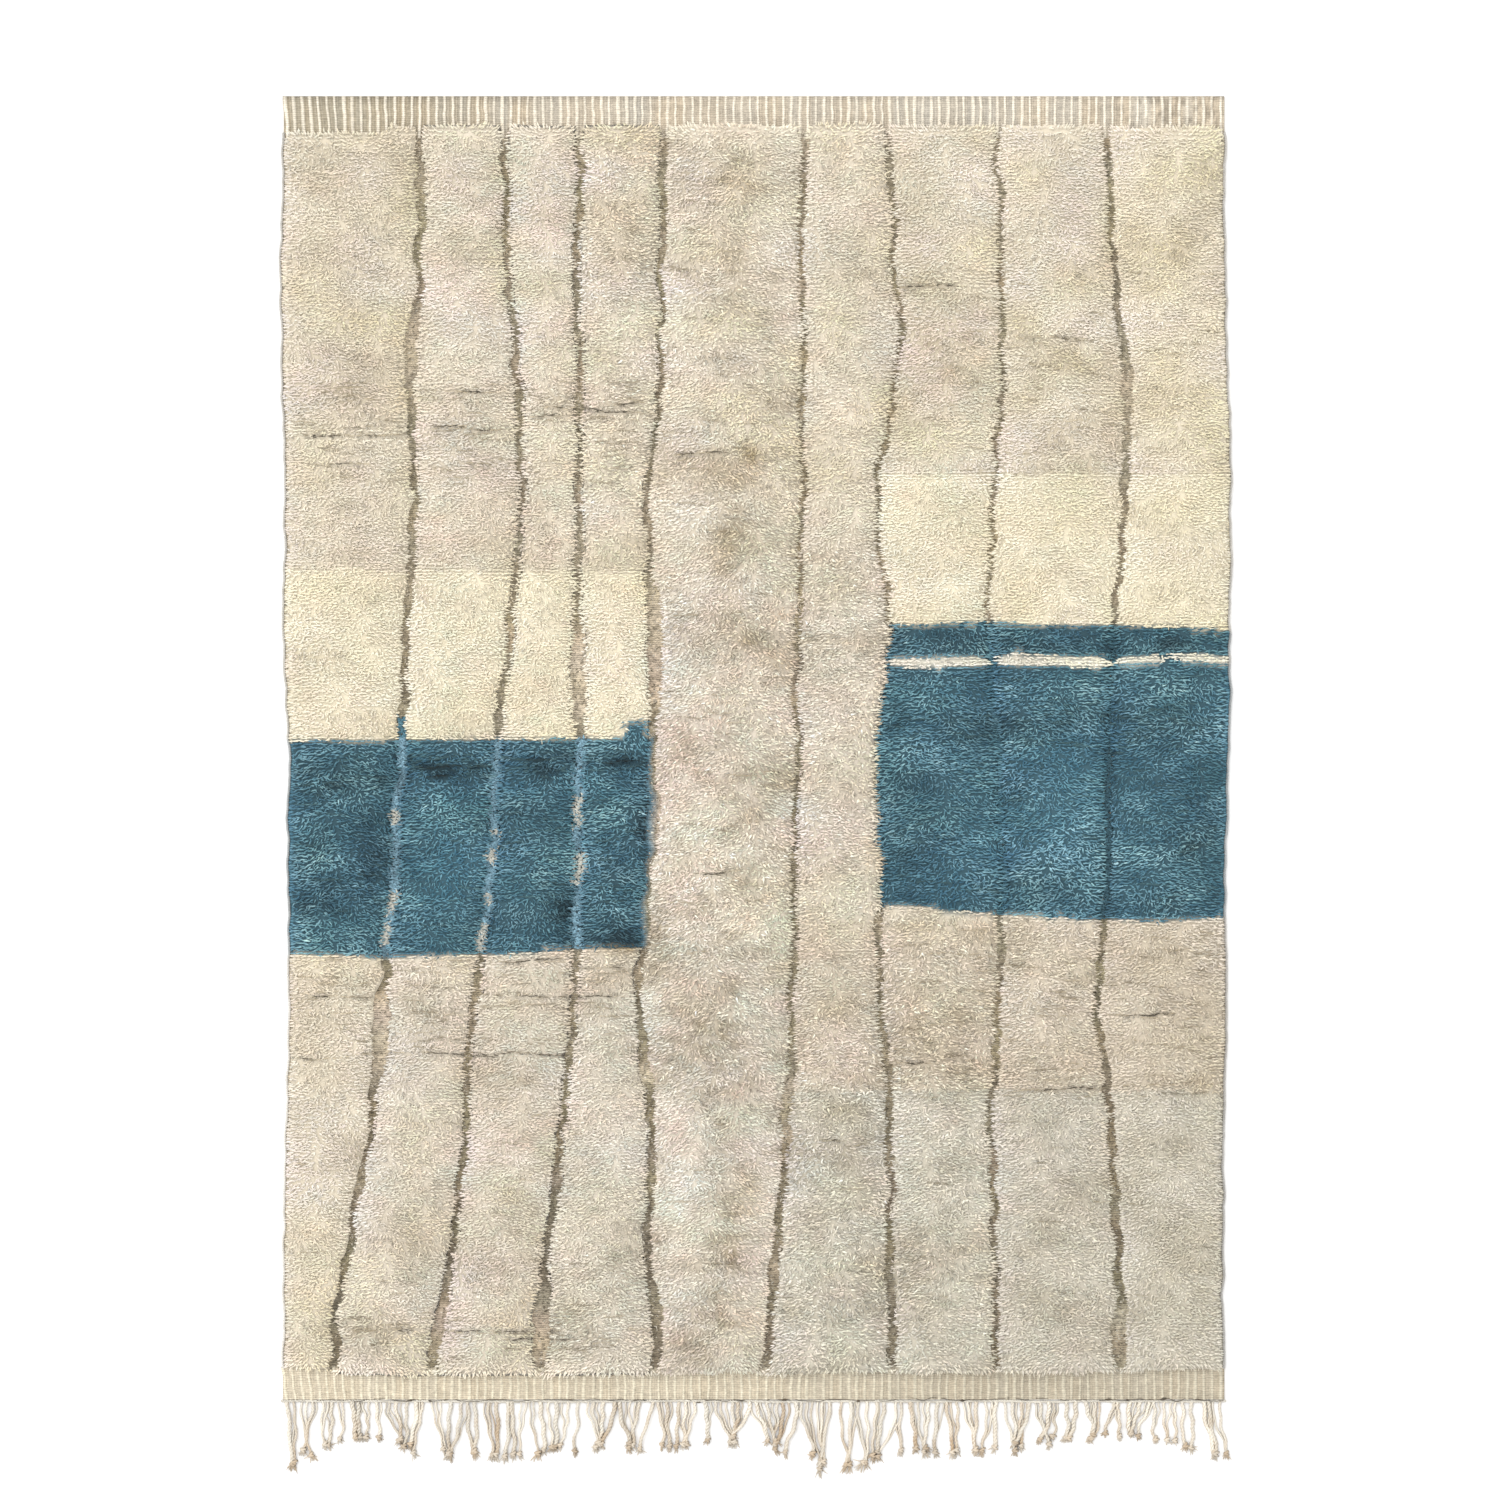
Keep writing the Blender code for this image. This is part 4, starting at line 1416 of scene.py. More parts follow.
@dataclass
class FurrowWisps:
    """Short low wool in the furrows: closed rows in the two blocks, stray wisps elsewhere."""

    plan: Plan
    design: Design
    palette: Palette
    # Rows that short wool fills: (furrow's number, from y, to y, how pale the blue is; below 0, how
    # much darker, as painted crease shade).
    filled: Table = (
        (1, -0.352, 0.102, 1.0), (1, 0.102, 0.15, -0.03), (2, -0.345, 0.098, 1.0),
        (3, -0.34, 0.103, 1.0), (7, -0.268, 0.346, -0.35), (8, -0.28, 0.34, -0.5),
    )
    # Cream knots in the filled rows: (furrow's number, middle's y, half the length).
    cream_spots: Table = (
        (1, -0.065, 0.016), (1, -0.245, 0.024), (1, -0.312, 0.024), (2, -0.095, 0.006),
        (2, -0.148, 0.017), (2, -0.235, 0.01), (2, -0.318, 0.03), (3, -0.04, 0.022),
        (3, -0.075, 0.014), (3, -0.17, 0.034),
    )
    filled_pitch: float = 0.003
    stray_pitch: float = 0.0055
    pale_height: float = 0.0105
    filled_height: float = 0.0075
    stray_height: float = 0.0036
    filled_length: float = 0.0115
    stray_length: float = 0.009
    filled_half: float = 0.0022
    stray_half: float = 0.0014

    def place(self, rng: Source) -> tuple[Array, ...]:
        """Choose where the wisps stand.

        Args:
            rng: The source of unevenness.

        Returns:
            Their x and y, how pale the blue is of those that fill a row, or else 0, and which
            are cream.
        """
        plan, columns = self.plan, []
        for index in range(1, plan.panels):
            y = np.arange(plan.field_end + 0.002, plan.field_top - 0.002, self.stray_pitch)
            y = np.repeat(y, 2)
            columns.append((index, y, np.zeros(len(y))))
        for index, low, high, pale in self.filled:
            y = np.repeat(np.arange(low, high, self.filled_pitch), 6 if pale > 0 else 4)
            columns.append((index, y, np.full(len(y), pale)))
        found = []
        for index, y, pale in columns:
            y = y + rng.uniform(-0.5, 0.5, len(y)) * self.stray_pitch
            half = np.interp(y, plan.samples, plan.half_samples[index])
            thin = ramp(wander(y * 0, y, 1.0, 0.05, 204 + index), -0.3, 0.7)
            pale_half = (half + 0.0045) * (1 - 0.4 * thin)
            half = np.where(pale > 0, pale_half, np.maximum(half, 0.004 * (pale < 0)))
            x = plan.line(index, y) + rng.uniform(-1.0, 1.0, len(y)) * half
            cream = np.zeros(len(y), bool)
            for furrow, middle, reach in self.cream_spots:
                off = np.abs(y - middle + 0.004 * wander(x, y, 0.012, 0.01, 203))
                cream |= (furrow == index) & (off < reach)
            found.append((x, y, pale, cream & (pale > 0)))
        return tuple(np.concatenate(part) for part in zip(*found))

    def build(self, finish: Finish) -> Piece:
        """Build and dress all wisps.

        Args:
            finish: The wool's finish.

        Returns:
            The wisps as one piece.
        """
        rng = np.random.default_rng(Seed.WISPS)
        x, y, pale, cream = self.place(rng)
        count = len(x)
        full = pale != 0
        p = self.palette
        cream = cream & (rng.uniform(0, 1, count) < 0.92)
        dark = rng.uniform(0, 1, count) < 0.55
        # Painted shade: wisps low in a furrow are darker than the wool around them, and the dark
        # ones darker than the bare ground.
        bare = 0.62 * np.array(p.furrow) * self.plan.bare_tone(x, y)[:, None]
        colour = np.where(dark[:, None], bare, 0.72 * self.design.undyed(x, y))
        # Painted shade: the filled rows of the right block are darker blue where the furrow makes a
        # crease.
        blue = np.array(p.blue) * np.where(pale < 0, 1 + pale, 1.0)[:, None]
        colour = np.where(full[:, None], blue, colour)
        colour = np.where((pale > 0)[:, None], np.array(p.pale_blue), colour)
        spot = 0.62 * np.array(p.undyed_left) + 0.28 * np.array(p.pale_blue)
        colour = np.where(cream[:, None], spot, colour)
        spread = np.where(full & cream, 0.1, 0.2)
        thin = ramp(wander(x, y, 0.12, 0.05, 209), -0.4, 0.7)
        colour = colour * (1 - (0.38 * thin * (pale > 0) * ~cream)[:, None])
        colour = colour * np.exp(rng.normal(0, 1, count) * spread)[:, None]
        heading = np.where(rng.uniform(0, 1, count) < 0.5, 0.0, np.pi) + rng.normal(0, 0.6, count)
        height = np.where(full, self.filled_height, self.stray_height)
        height = np.where(pale > 0, self.pale_height, height)
        length = np.where(full, self.filled_length, self.stray_length)
        half = np.where(full, self.filled_half, self.stray_half)
        tufts = Tufts(
            np.stack([x, y, height], 1),
            heading,
            lean=np.radians(np.where(full, 38, 62) + rng.normal(0, 8, count)),
            droop=np.radians(np.where(full, 74, 92) + rng.normal(0, 5, count)),
            length=length * rng.uniform(0.75, 1.25, count),
            half=half * rng.uniform(0.8, 1.2, count),
            colour=colour,
        )
        made = tufts.build("furrow_wisps")
        soften(made, tufts.upward)
        made.data.materials.append(finish)
        LOG.info("furrow_wisps: %d tufts", count)
        return made


# ---- the ground weave


@dataclass
class Cords:
    """Round yarns gathered into one piece."""

    parts: list[tuple[Array, Array, Array]] = field(default_factory=list)

    def tube(
        self, path: Array, radius: Array, sides: int, colour: Array, dusty: float = 0.0
    ) -> None:
        """Add one closed round tube.

        Args:
            path: One row of x, y and z for each section.
            radius: The radius at each section.
            sides: How many sides it has.
            colour: Its colour at each section.
            dusty: How much darker and browner its flanks and underside are, from 0 to 1, as painted
                shade.
        """
        ahead = np.gradient(path, axis=0)
        ahead /= np.maximum(np.linalg.norm(ahead, axis=1), 1e-9)[:, None]
        side = np.cross(ahead, UP)
        size = np.linalg.norm(side, axis=1)[:, None]
        side = np.where(size > 0.05, side / np.maximum(size, 1e-9), np.array([1.0, 0.0, 0.0]))
        top = np.cross(side, ahead)
        turn = np.arange(sides) * math.tau / sides
        ring = side[:, None] * np.cos(turn)[None, :, None]
        ring = ring + top[:, None] * np.sin(turn)[None, :, None]
        points = path[:, None] + ring * radius[:, None, None]
        count = len(path)
        points = np.concatenate([points.reshape(-1, 3), path[:1], path[-1:]])
        k = np.arange(sides)
        first = np.arange(count - 1)[:, None] * sides
        a, b = (first + k).ravel(), (first + (k + 1) % sides).ravel()
        walls = [np.stack([a, b, b + sides], 1), np.stack([a, b + sides, a + sides], 1)]
        start, end = count * sides, count * sides + 1
        last = (count - 1) * sides
        caps = [
            np.stack([np.full(sides, start), (k + 1) % sides, k], 1),
            np.stack([np.full(sides, end), last + k, last + (k + 1) % sides], 1),
        ]
        # Painted shade: the flanks and the underside darker and browner.
        low = dusty * (0.6 - 0.6 * np.sin(turn))[None, :, None] * np.array([0.8, 1.0, 1.25])
        flank = (colour[:, None] * (1 - np.minimum(low, 0.9))).reshape(-1, 3)
        shades = np.concatenate([flank, colour[:1], colour[-1:]])
        self.parts.append((points, np.concatenate([*walls, *caps]), shades))

    def collect(self, name: str, finish: Finish) -> Piece:
        """Turn the tubes added so far into one dressed piece.

        Args:
            name: The piece's name.
            finish: The yarn's finish.

        Returns:
            The piece.
        """
        starts = np.cumsum([0] + [len(points) for points, _, _ in self.parts])
        points = np.concatenate([part[0] for part in self.parts])
        points[:, 2] = np.maximum(points[:, 2], 0.0001)
        corners = np.concatenate([part[1] + s for part, s in zip(self.parts, starts)])
        made = triangles_object(name, points, corners)
        made.data.shade_smooth()
        set_yarn(made, np.concatenate([part[2] for part in self.parts]))
        made.data.materials.append(finish)
        self.parts.clear()
        LOG.info("%s: %d triangles", name, len(corners))
        return made


@dataclass
class GroundWeave:
    """The woven ground: hidden under the pile, bare in the furrows, ribbed at both ends."""

    plan: Plan
    design: Design
    palette: Palette
    top: float = 0.005
    row_step: float = 0.011
    selvedge_steps: int = 230
    selvedge_height: float = 0.0062
    selvedge_radius: float = 0.0028
    rib_pitch: float = 0.0176
    rib_half: float = 0.004
    band_ground: float = 0.0045
    rib_crest: float = 0.0074
    band_rows: int = 8
    seam: float = 0.004
    upper_seam: float = 0.022
    hem_roll: float = 0.0034
    thickness: float = 0.002
    # The flat map: half its breadth, how broad a fold of an end's strip is and how deep.
    map_reach: float = 1.03
    fold_breadth: float = 0.52
    fold_depth: float = 0.088
    # A rib's section with the thin yarn beside it: (place in half breadths, rise).
    rib_section: Table = (
        (-1.0, 0.0), (-0.62, 0.72), (-0.2, 1.0), (0.2, 1.0), (0.62, 0.72), (1.0, 0.0), (1.7, 0.0),
        (2.15, 0.42), (2.6, 0.0),
    )
    # Where the ground under a panel has a column of points, in shares of its breadth.
    shares: tuple[float, ...] = (0.0, 0.06, 0.5, 0.94, 1.0)

    def slab(
        self, name: str, x: Array, y: Array, z: Array, colours: Array, back: Array, mottle: float
    ) -> Piece:
        """Build a closed thin slab from a grid of places.

        Args:
            name: The slab's name.
            x: Places across, one row for each row of the grid.
            y: Places along, alike.
            z: The upper face's heights, alike.
            colours: The upper face's colours, alike.
            back: The underside's colours, alike.
            mottle: How mottled the upper face is, from 0 to 1.

        Returns:
            The slab, with its yarn colours.
        """
        rows, columns = x.shape
        made, column, row = grid_object(name, columns, rows)
        count = rows * columns
        move_points(made, np.stack([x[row, column], y[row, column], z[row, column]], 1))
        thick = made.modifiers.new("thickness", "SOLIDIFY")
        thick.thickness = self.thickness
        thick.offset = -1.0
        select(made)
        bpy.ops.object.modifier_apply(modifier=thick.name)
        points = points_of(made)
        points[count:, :2] = points[:count, :2]
        points[count:, 2] = 0.0
        move_points(made, points)
        under = back[row, column]
        spread = np.repeat([mottle, 0.0], count)
        set_yarn(made, np.concatenate([colours[row, column], under]), spread)
        return made

    def field(self) -> Piece:
        """Build the ground under the pile, with a column of points at each furrow's sides."""
        plan = self.plan
        rows = round((plan.field_top - plan.field_end) / self.row_step)
        y = np.linspace(plan.field_end + self.seam, plan.field_top - self.upper_seam, rows)
        columns, bare = [], []
        for panel in range(plan.panels):
            left, right = plan.panel_edges(panel, y)
            for share in self.shares:
                columns.append(left + (right - left) * share)
                bare.append(1.0 if share in (0.0, 1.0) else 0.0)
        bare[0] = bare[-1] = 0.0
        x = np.stack(columns, 1)
        x[:, 0], x[:, -1] = plan.line(0, y) + 0.003, plan.line(plan.panels, y) - 0.003
        y = np.repeat(y[:, None], x.shape[1], 1)
        palette = self.palette
        flat = (x.ravel(), y.ravel())
        block = self.design.left_block(*flat).reshape(x.shape)
        # Painted shade: narrow furrows get the darker floor colour, wide ones the paler.
        wide = [np.interp(y[:, 0], plan.samples, half) for half in plan.half_samples]
        number = [panel + int(share > 0.5) for panel in range(plan.panels) for share in self.shares]
        wide = ramp(np.stack([wide[k] for k in number], 1), 0.0075, 0.0125)[..., None]
        floor = np.array(palette.furrow) * (1 - wide) + np.array(palette.furrow_wide) * wide
        uneven = 1 + 0.2 * wander(x, y, 0.1, 0.022, 102) + 0.14 * wander(x, y, 0.1, 0.08, 106)
        floor = floor * (uneven * plan.bare_tone(x, y))[..., None]
        stain = np.stack([wander(x, y, 0.2, 0.05, seed) for seed in (103, 104, 105)], -1)
        floor = floor * (1 + np.array([0.06, 0.0, 0.08]) * stain)
        floor = np.where(block[..., None], 0.75 * np.array(palette.pale_blue), floor)
        block = self.design.right_block(*flat).reshape(x.shape)
        # Painted shade: the bare ground in the right block's furrows is dark blue, as in a crease.
        floor = np.where(block[..., None], 0.5 * np.array(palette.blue), floor)
        dyed = self.design.colour(*flat).reshape(*x.shape, 3)
        share = np.array(bare)[None, :, None]
        colours = floor * share + 0.8 * dyed * (1 - share)
        back = 0.88 * dyed * (1 - share) + np.array(palette.band_ground) * 0.9 * share
        z = np.full(x.shape, self.top)
        return self.slab("ground_field", x, y, z, colours, back, 1.0)

    def band(self, name: str, low: float, high: float, station: int, bright: float) -> Piece:
        """Build one flat-woven end with its narrow raised ribs.

        Args:
            name: The slab's name.
            low: Its lower y.
            high: Its upper y.
            station: 0 at the upper end, -1 at the lower one.
            bright: How pale the ground between the ribs is, 1 for plain.

        Returns:
            The slab.
        """
        left, right = self.plan.ends(station)
        rng = np.random.default_rng(Seed.BANDS + station)
        count = round((right - left) / self.rib_pitch)
        pitch = (right - left) / count
        shares, rise = np.array(self.rib_section).T
        crest = left + (np.arange(count) + 0.5 + rng.uniform(-0.07, 0.07, count)) * pitch
        half = self.rib_half * rng.uniform(0.75, 1.2, count)
        x = (crest[:, None] + shares[None] * half[:, None]).ravel()
        x = np.concatenate([[left], np.minimum(x, right - 0.0005), [right]])
        full = rng.uniform(0.75, 1.1, count)
        lift = np.concatenate([[0.0], (rise[None] * full[:, None]).ravel(), [0.0]])
        y = np.linspace(low, high, self.band_rows)
        x, y = np.meshgrid(x, y)
        inner = np.ones(x.shape[1])
        inner[0] = inner[-1] = 0.0
        slant = -0.008 * (y - low) / (high - low) * np.clip((-0.72 - x) / 0.25, 0, 1)
        x = x + inner * (slant + 0.0016 * wander(x, y, 0.03, 0.02, 111))
        lumps = 1 + 0.25 * wander(x, y, 0.012, 0.008, 112)
        z = self.band_ground + (self.rib_crest - self.band_ground) * lift[None] * lumps
        palette = self.palette
        # Painted shade: the ground and the ribs darker towards the upper end's rolled hem, more at
        # the left.
        reach = 0.009 + 0.013 * ramp(-x, 0.2, 0.6)
        hem = ramp(np.abs(y - (low if station else high)) / reach, 1.0, 0.0)
        hem = hem * (0.0 if station else 0.34) * (0.6 + 0.5 * ramp(-x, 0.1, 0.6))
        ground = np.array(palette.band_ground) * bright
        ground = ground * np.array([1.0, 1.0, 0.96 if station else 1.0])
        # The upper end darker and yellower towards the left.
        left_darkening = (0.0 if station else 0.2) * ramp(-x, 0.4, 0.8)
        ground = ground * (1 - left_darkening[..., None] * np.array([1.0, 1.05, 1.35]))
        ground = ground * (1 - hem + 0.12 * wander(x, y, 0.05, 0.01, 113))[..., None]
        rib = np.array(palette.band_rib) * (1 - 0.6 * hem)[..., None]
        rib = rib * (np.array([0.8, 0.8, 0.75]) if station else 0.98)
        rib = rib * (1 + 0.07 * wander(x, y, 0.03, 0.008, 114))[..., None]
        right = (0.0 if station else 1.0) * ramp(x, 0.72, 0.84)
        broken = ramp(wander(x, y, 0.01, 0.01, 115), 0.1, 0.4) * right
        fleck = ramp(wander(x, y, 0.012, 0.007, 119), 0.0, 0.3) * right
        rib = rib * (1 - 0.3 * broken)[..., None]
        ground = ground * (1 + 0.12 * right - 0.42 * fleck)[..., None]
        dyed = wander(x, y, 0.022, 0.1, 118)[..., None] * np.array([0.05, 0.0, -0.07])
        ground = ground * (1 + (0.4 if station else 1.0) * dyed)
        share = ramp(lift, 0.15, 1.0)[None, :, None]
        colours = ground * (1 - share) + rib * share
        if station:
            places = (-1.0, -0.6, -0.1, 0.4, 0.65, 1.0)
            paler = np.interp(x, places, (1.13, 1.07, 1.01, 0.88, 0.83, 0.85))
            colours = colours * paler[..., None]
        colours = np.clip(colours, 0, PALEST)
        return self.slab(name, x, y, z, colours, 0.92 * colours, 0.35)

    def flatten(self, obj: Piece) -> None:
        """Give the joined weave its flat map: field, underside, and the ends in folded strips."""
        faces = obj.data.polygons
        total = read_all(faces, "loop_total", 1, np.int32)
        normal = read_all(faces, "normal", 3, np.float32)
        centre = read_all(faces, "center", 3, np.float32)
        face = np.repeat(np.arange(len(total)), total)
        place = points_of(obj)[read_all(obj.data.loops, "vertex_index", 1, np.int32)]
        plan = self.plan
        u = (place[:, 0] + self.map_reach) / (2 * self.map_reach)
        v = (place[:, 1] - plan.lower_hem) / (plan.upper_hem - plan.lower_hem)
        under = normal[face, 2] < -0.5
        u = np.where(under, 0.5 + 0.49 * u, 0.49 * u)
        v = 0.59 * v
        upper = centre[face, 1] > plan.field_top - self.upper_seam
        lower = centre[face, 1] < plan.field_end + self.seam
        strip = (upper | lower) & ~under
        fold = np.floor((centre[face, 0] + self.map_reach) / self.fold_breadth)
        base = np.where(upper, plan.field_top - self.upper_seam, plan.lower_hem)
        row = np.where(upper, 4, 0) + fold
        along = place[:, 0] + self.map_reach - self.fold_breadth * fold
        strip_u = 0.01 + 0.97 * along / (self.fold_breadth + 0.01)
        strip_v = 0.6 + 0.4 * (row + 0.03 + 0.94 * (place[:, 1] - base) / self.fold_depth) / 8
        u, v = np.where(strip, strip_u, u), np.where(strip, strip_v, v)
        set_map(obj, np.stack([u, v], 1))

    def selvedge(self, finish: Finish) -> Piece:
        """Build the overcast yarns along the two long sides.

        Args:
            finish: The weave's finish.

        Returns:
            Both yarns.
        """
        plan, cords = self.plan, Cords()
        y = np.linspace(plan.field_end + 0.002, plan.field_top - 0.01, self.selvedge_steps)
        radius = np.full(len(y), self.selvedge_radius)
        for index, inward in ((0, 1.0), (plan.panels, -1.0)):
            x = plan.line(index, y) + inward * 0.0012 + 0.0004 * wander_along(y, 0.02, 116, index)
            tint = self.design.colour(x + inward * 0.02, y)
            low = 1 + (-0.1 if index else 0.36) * ramp(-y, 0.3, 0.5)
            colour = 0.72 * np.array(self.palette.selvedge) + 0.18 * tint
            colour = colour * (low + 0.08 * wander_along(y, 0.03, 117, index))[:, None]
            cords.tube(np.stack([x, y, y * 0 + self.selvedge_height], 1), radius, 6, colour)
        return cords.collect("selvedge", finish)

    def build(self, finish: Finish) -> Piece:
        """Build and dress the whole weave.

        Args:
            finish: The weave's finish.

        Returns:
            The weave as one piece.
        """
        plan = self.plan
        seam, hem = plan.field_top - self.upper_seam, plan.upper_hem + self.hem_roll
        pieces = [
            self.field(),
            self.band("upper_end", seam, hem, 0, 0.88),
            self.band("lower_end", plan.lower_hem, plan.field_end + self.seam, -1, 0.96),
            self.selvedge(finish),
        ]
        made = join("ground_weave", pieces)
        select(made)
        bpy.ops.object.shade_smooth_by_angle(angle=math.radians(70.0))
        self.flatten(made)
        made.data.materials.clear()
        made.data.materials.append(finish)
        LOG.info("ground_weave: %d faces", len(made.data.polygons))
        return made


# ---- fringe and hem


@dataclass
class Fringe:
    """The warp ends below the lower hem, plied and knotted, with a twined cord along them."""

    plan: Plan
    palette: Palette
    strands: int = 104
    lengths_mm: tuple[int, ...] = (160, 92, 136, 134, 120, 122, 101, 170, 130, 128, 99, 95, 140)
    ply_radius: float = 0.0025
    ply_offset: float = 0.0021
    twist_pitch: float = 0.016
    steps: int = 26
    sides: int = 4
    knot_share: float = 0.86
    gather: float = 0.019
    gather_pitch: float = 0.17
    bow: float = 0.006
    bow_pitch: float = 0.2
    strip_depth: float = 0.009
    root_depth: float = 0.004
    companion_share: float = 0.75
    companion_radius: float = 0.0021
    knot_steps: int = 11
    knot_yarn: float = 0.0026
    knot_radius: float = 0.0046
    tail_hairs: int = 10
    cord_turn: float = 0.011
    cord_radius: float = 0.0017
    cord_step: float = 0.0028
    thread_step: float = 0.003
    cords: Cords = field(default_factory=Cords)

    def bunches(self, rng: Source) -> Array:
        """Gather neighbouring strands into small bunches.

        Args:
            rng: The source of unevenness.

        Returns:
            For each strand, how far its tip moves towards the middle of its bunch, in pitches.
        """
        pull = np.zeros(self.strands)
        start = 0
        while start < self.strands:
            size = int(rng.integers(1, 6))
            members = np.arange(start, min(start + size, self.strands))
            tight = rng.choice((rng.uniform(-0.1, 0.45), rng.uniform(0.6, 1.05)))
            pull[members] = tight * (members.mean() + rng.uniform(-0.3, 0.3) - members)
            start += size
        return pull

    def centre_line(self, index: int, pull: float, rng: Source) -> Array:
        """Lay one strand out on the floor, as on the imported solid.

        Args:
            index: The strand's number, from 0 at the left.
            pull: How far its tip moves into its bunch, in pitches.
            rng: The source of unevenness.

        Returns:
            One row of x, y and z for each step.
        """
        across = (index + 0.5) / self.strands
        left, right = self.plan.ends(-1)
        jitter = rng.uniform(-0.3, 0.3) * (right - left) / self.strands
        root_x = left + across * (right - left) + jitter
        root_y = self.plan.lower_hem - 0.0003 - self.strip_depth + self.root_depth
        reach = curve_through(self.lengths_mm, across) / 1000 * rng.uniform(0.86, 1.0)
        fall = reach - self.strip_depth + self.root_depth
        gather = self.gather * noise.noise(Vector((root_x / self.gather_pitch, 4.0, 0.0)))
        share = np.linspace(0.0, 1.0, self.steps)
        lane = root_x / self.bow_pitch
        bow = np.array([noise.noise(Vector((lane, s * 2.2, 8.0))) for s in share])
        sway = 0.0055 * np.sin(share * rng.uniform(3.0, 8.0) + rng.uniform(0, 6.3)) * share
        sway = sway + 0.0016 * np.sin(share * rng.uniform(12.0, 20.0) + rng.uniform(0, 6.3))
        sway = sway + rng.normal(0, 0.006) * share**2
        bunch = pull * (right - left) / self.strands * ramp(share, 0.1, 0.95)
        x = root_x + gather * share**1.4 + self.bow * share * bow + sway + bunch
        y = root_y - share * fall
        lift = 0.0045 * abs(pull) * rng.uniform(0, 1) * np.sin(share * np.pi) ** 2
        z = self.ply_radius + self.ply_offset * 0.9 + lift
        return np.stack([x, y, z], 1)

    def strand(self, index: int, pull: float, rng: Source) -> None:
        """Make one strand: two plies, a knot and a frayed tail.

        Args:
            index: The strand's number, from 0 at the left.
            pull: How far its tip moves into its bunch, in pitches.
            rng: The source of unevenness.
        """
        line = self.centre_line(index, pull, rng)
        length = np.concatenate([[0], np.cumsum(np.linalg.norm(np.diff(line, axis=0), axis=1))])
        cut = round(self.knot_share * (self.steps - 1))
        shade = np.array(self.palette.warp) * rng.uniform(0.88, 1.12)
        stain = np.array(self.palette.warp_stain) * rng.uniform(0.8, 1.1)
        share = np.linspace(0, 1, self.steps)
        dirt = 0.03 + 0.75 * share**2.5 + 0.4 * wander_along(share, 0.2, 126, index)
        dirt = np.clip(dirt + 0.45 * (rng.uniform() < 0.25), 0, 1)[:, None] * rng.uniform(0.3, 1.0)
        phase, size = rng.uniform(0, math.tau), rng.uniform(0.55, 1.25)
        # How much painted shade darkens the flanks and undersides of its yarns.
        dusty = rng.uniform(0.25, 0.7)
        plain, main = shade * (1 - dirt) + stain * dirt, slice(cut + 1)
        for ply in (0.0, math.pi):
            turn = length / self.twist_pitch * math.tau + phase + ply
            path = line.copy()
            path[:, 0] += self.ply_offset * size * np.cos(turn)
            path[:, 2] += self.ply_offset * size * 0.8 * np.sin(turn)
            # Painted light: each ply lighter where it twists upwards and darker where it twists
            # down.
            colour = plain * (1 + 0.1 * np.sin(turn))[:, None]
            radius = self.ply_radius * size * (1 + 0.12 * wander_along(share, 0.1, 128, index))
            self.cords.tube(path[main], radius[main], self.sides, colour[main], dusty)
        if rng.uniform() < self.companion_share:
            apart = rng.uniform(0.35, 0.75) * rng.choice((-1, 1)) * 2.0 / self.strands
            path = line.copy()
            path[:, 0] += apart * (1 - ramp(share, 0.1, rng.uniform(0.7, 1.0)))
            path[:, 2] = 0.0024 + 0.0006 * rng.uniform()
            radius = self.companion_radius * rng.uniform(0.7, 1.15)
            radius = radius * (1 + 0.2 * wander_along(share, 0.06, 131, index))
            self.cords.tube(path[main], radius[main], 4, plain[main], 0.4)
        rust = rng.uniform(0.35, 0.85)
        shade = (shade * (1 - rust) + stain * rust) * rng.uniform(0.85, 1.0)
        self.knot(line[cut], line[cut] - line[cut - 1], shade * 0.92, rng)
        self.tail(line[cut], line[-1], shade, rng)

    def knot(self, place: Array, ahead: Array, shade: Array, rng: Source) -> None:
        """Wrap the strand's overhand knot: two fat turns, one leaning over the other.

        Args:
            place: The knot's middle.
            ahead: The strand's direction there.
            shade: The yarn's colour.
            rng: The source of unevenness.
        """
        ahead = ahead / np.linalg.norm(ahead)
        side = np.cross(ahead, UP)
        turn = np.linspace(0, math.tau, self.knot_steps)
        for offset, tilt in ((-0.0018, 0.45), (0.0018, -0.35)):
            wide = self.knot_radius * rng.uniform(0.6, 1.35)
            ring = (
                place
                + ahead * offset
                + side * (wide * np.cos(turn))[:, None]
                + UP * (wide * 0.75 * np.sin(turn) + 0.0008)[:, None]
                + ahead * (tilt * wide * np.cos(turn))[:, None]
            )
            # Painted light: each turn of the knot lighter at its top.
            colour = shade[None] * (1 + 0.12 * np.sin(turn))[:, None]
            self.cords.tube(ring, np.full(len(turn), self.knot_yarn), 5, colour, 0.4)

    def tail(self, start: Array, end: Array, shade: Array, rng: Source) -> None:
        """Fray the yarn below its knot into a small brush.

        Args:
            start: The knot's middle.
            end: The strand's tip.
            shade: The yarn's colour.
            rng: The source of unevenness.
        """
        span = np.linalg.norm(end - start)
        heading = math.atan2(end[1] - start[1], end[0] - start[0])
        for _ in range(self.tail_hairs):
            away = heading + rng.normal(0, 0.45)
            reach = span * rng.uniform(0.6, 1.4)
            share = np.linspace(0, 1, 4)
            curl = rng.normal(0, 0.1) * span * share**2
            x = start[0] + np.cos(away) * reach * share - np.sin(away) * curl
            y = start[1] + np.sin(away) * reach * share + np.cos(away) * curl
            z = np.interp(share, (0, 1), (start[2], 0.0012 + rng.uniform(0, 0.002)))
            radius = np.interp(share, (0, 0.6, 1), (0.0015, 0.0013, 0.0005))
            paler = np.clip(shade * rng.uniform(0.92, 1.06), 0, PALEST)
            colour = np.tile(paler, (len(share), 1))
            self.cords.tube(np.stack([x, y, z], 1), radius, 3, colour)

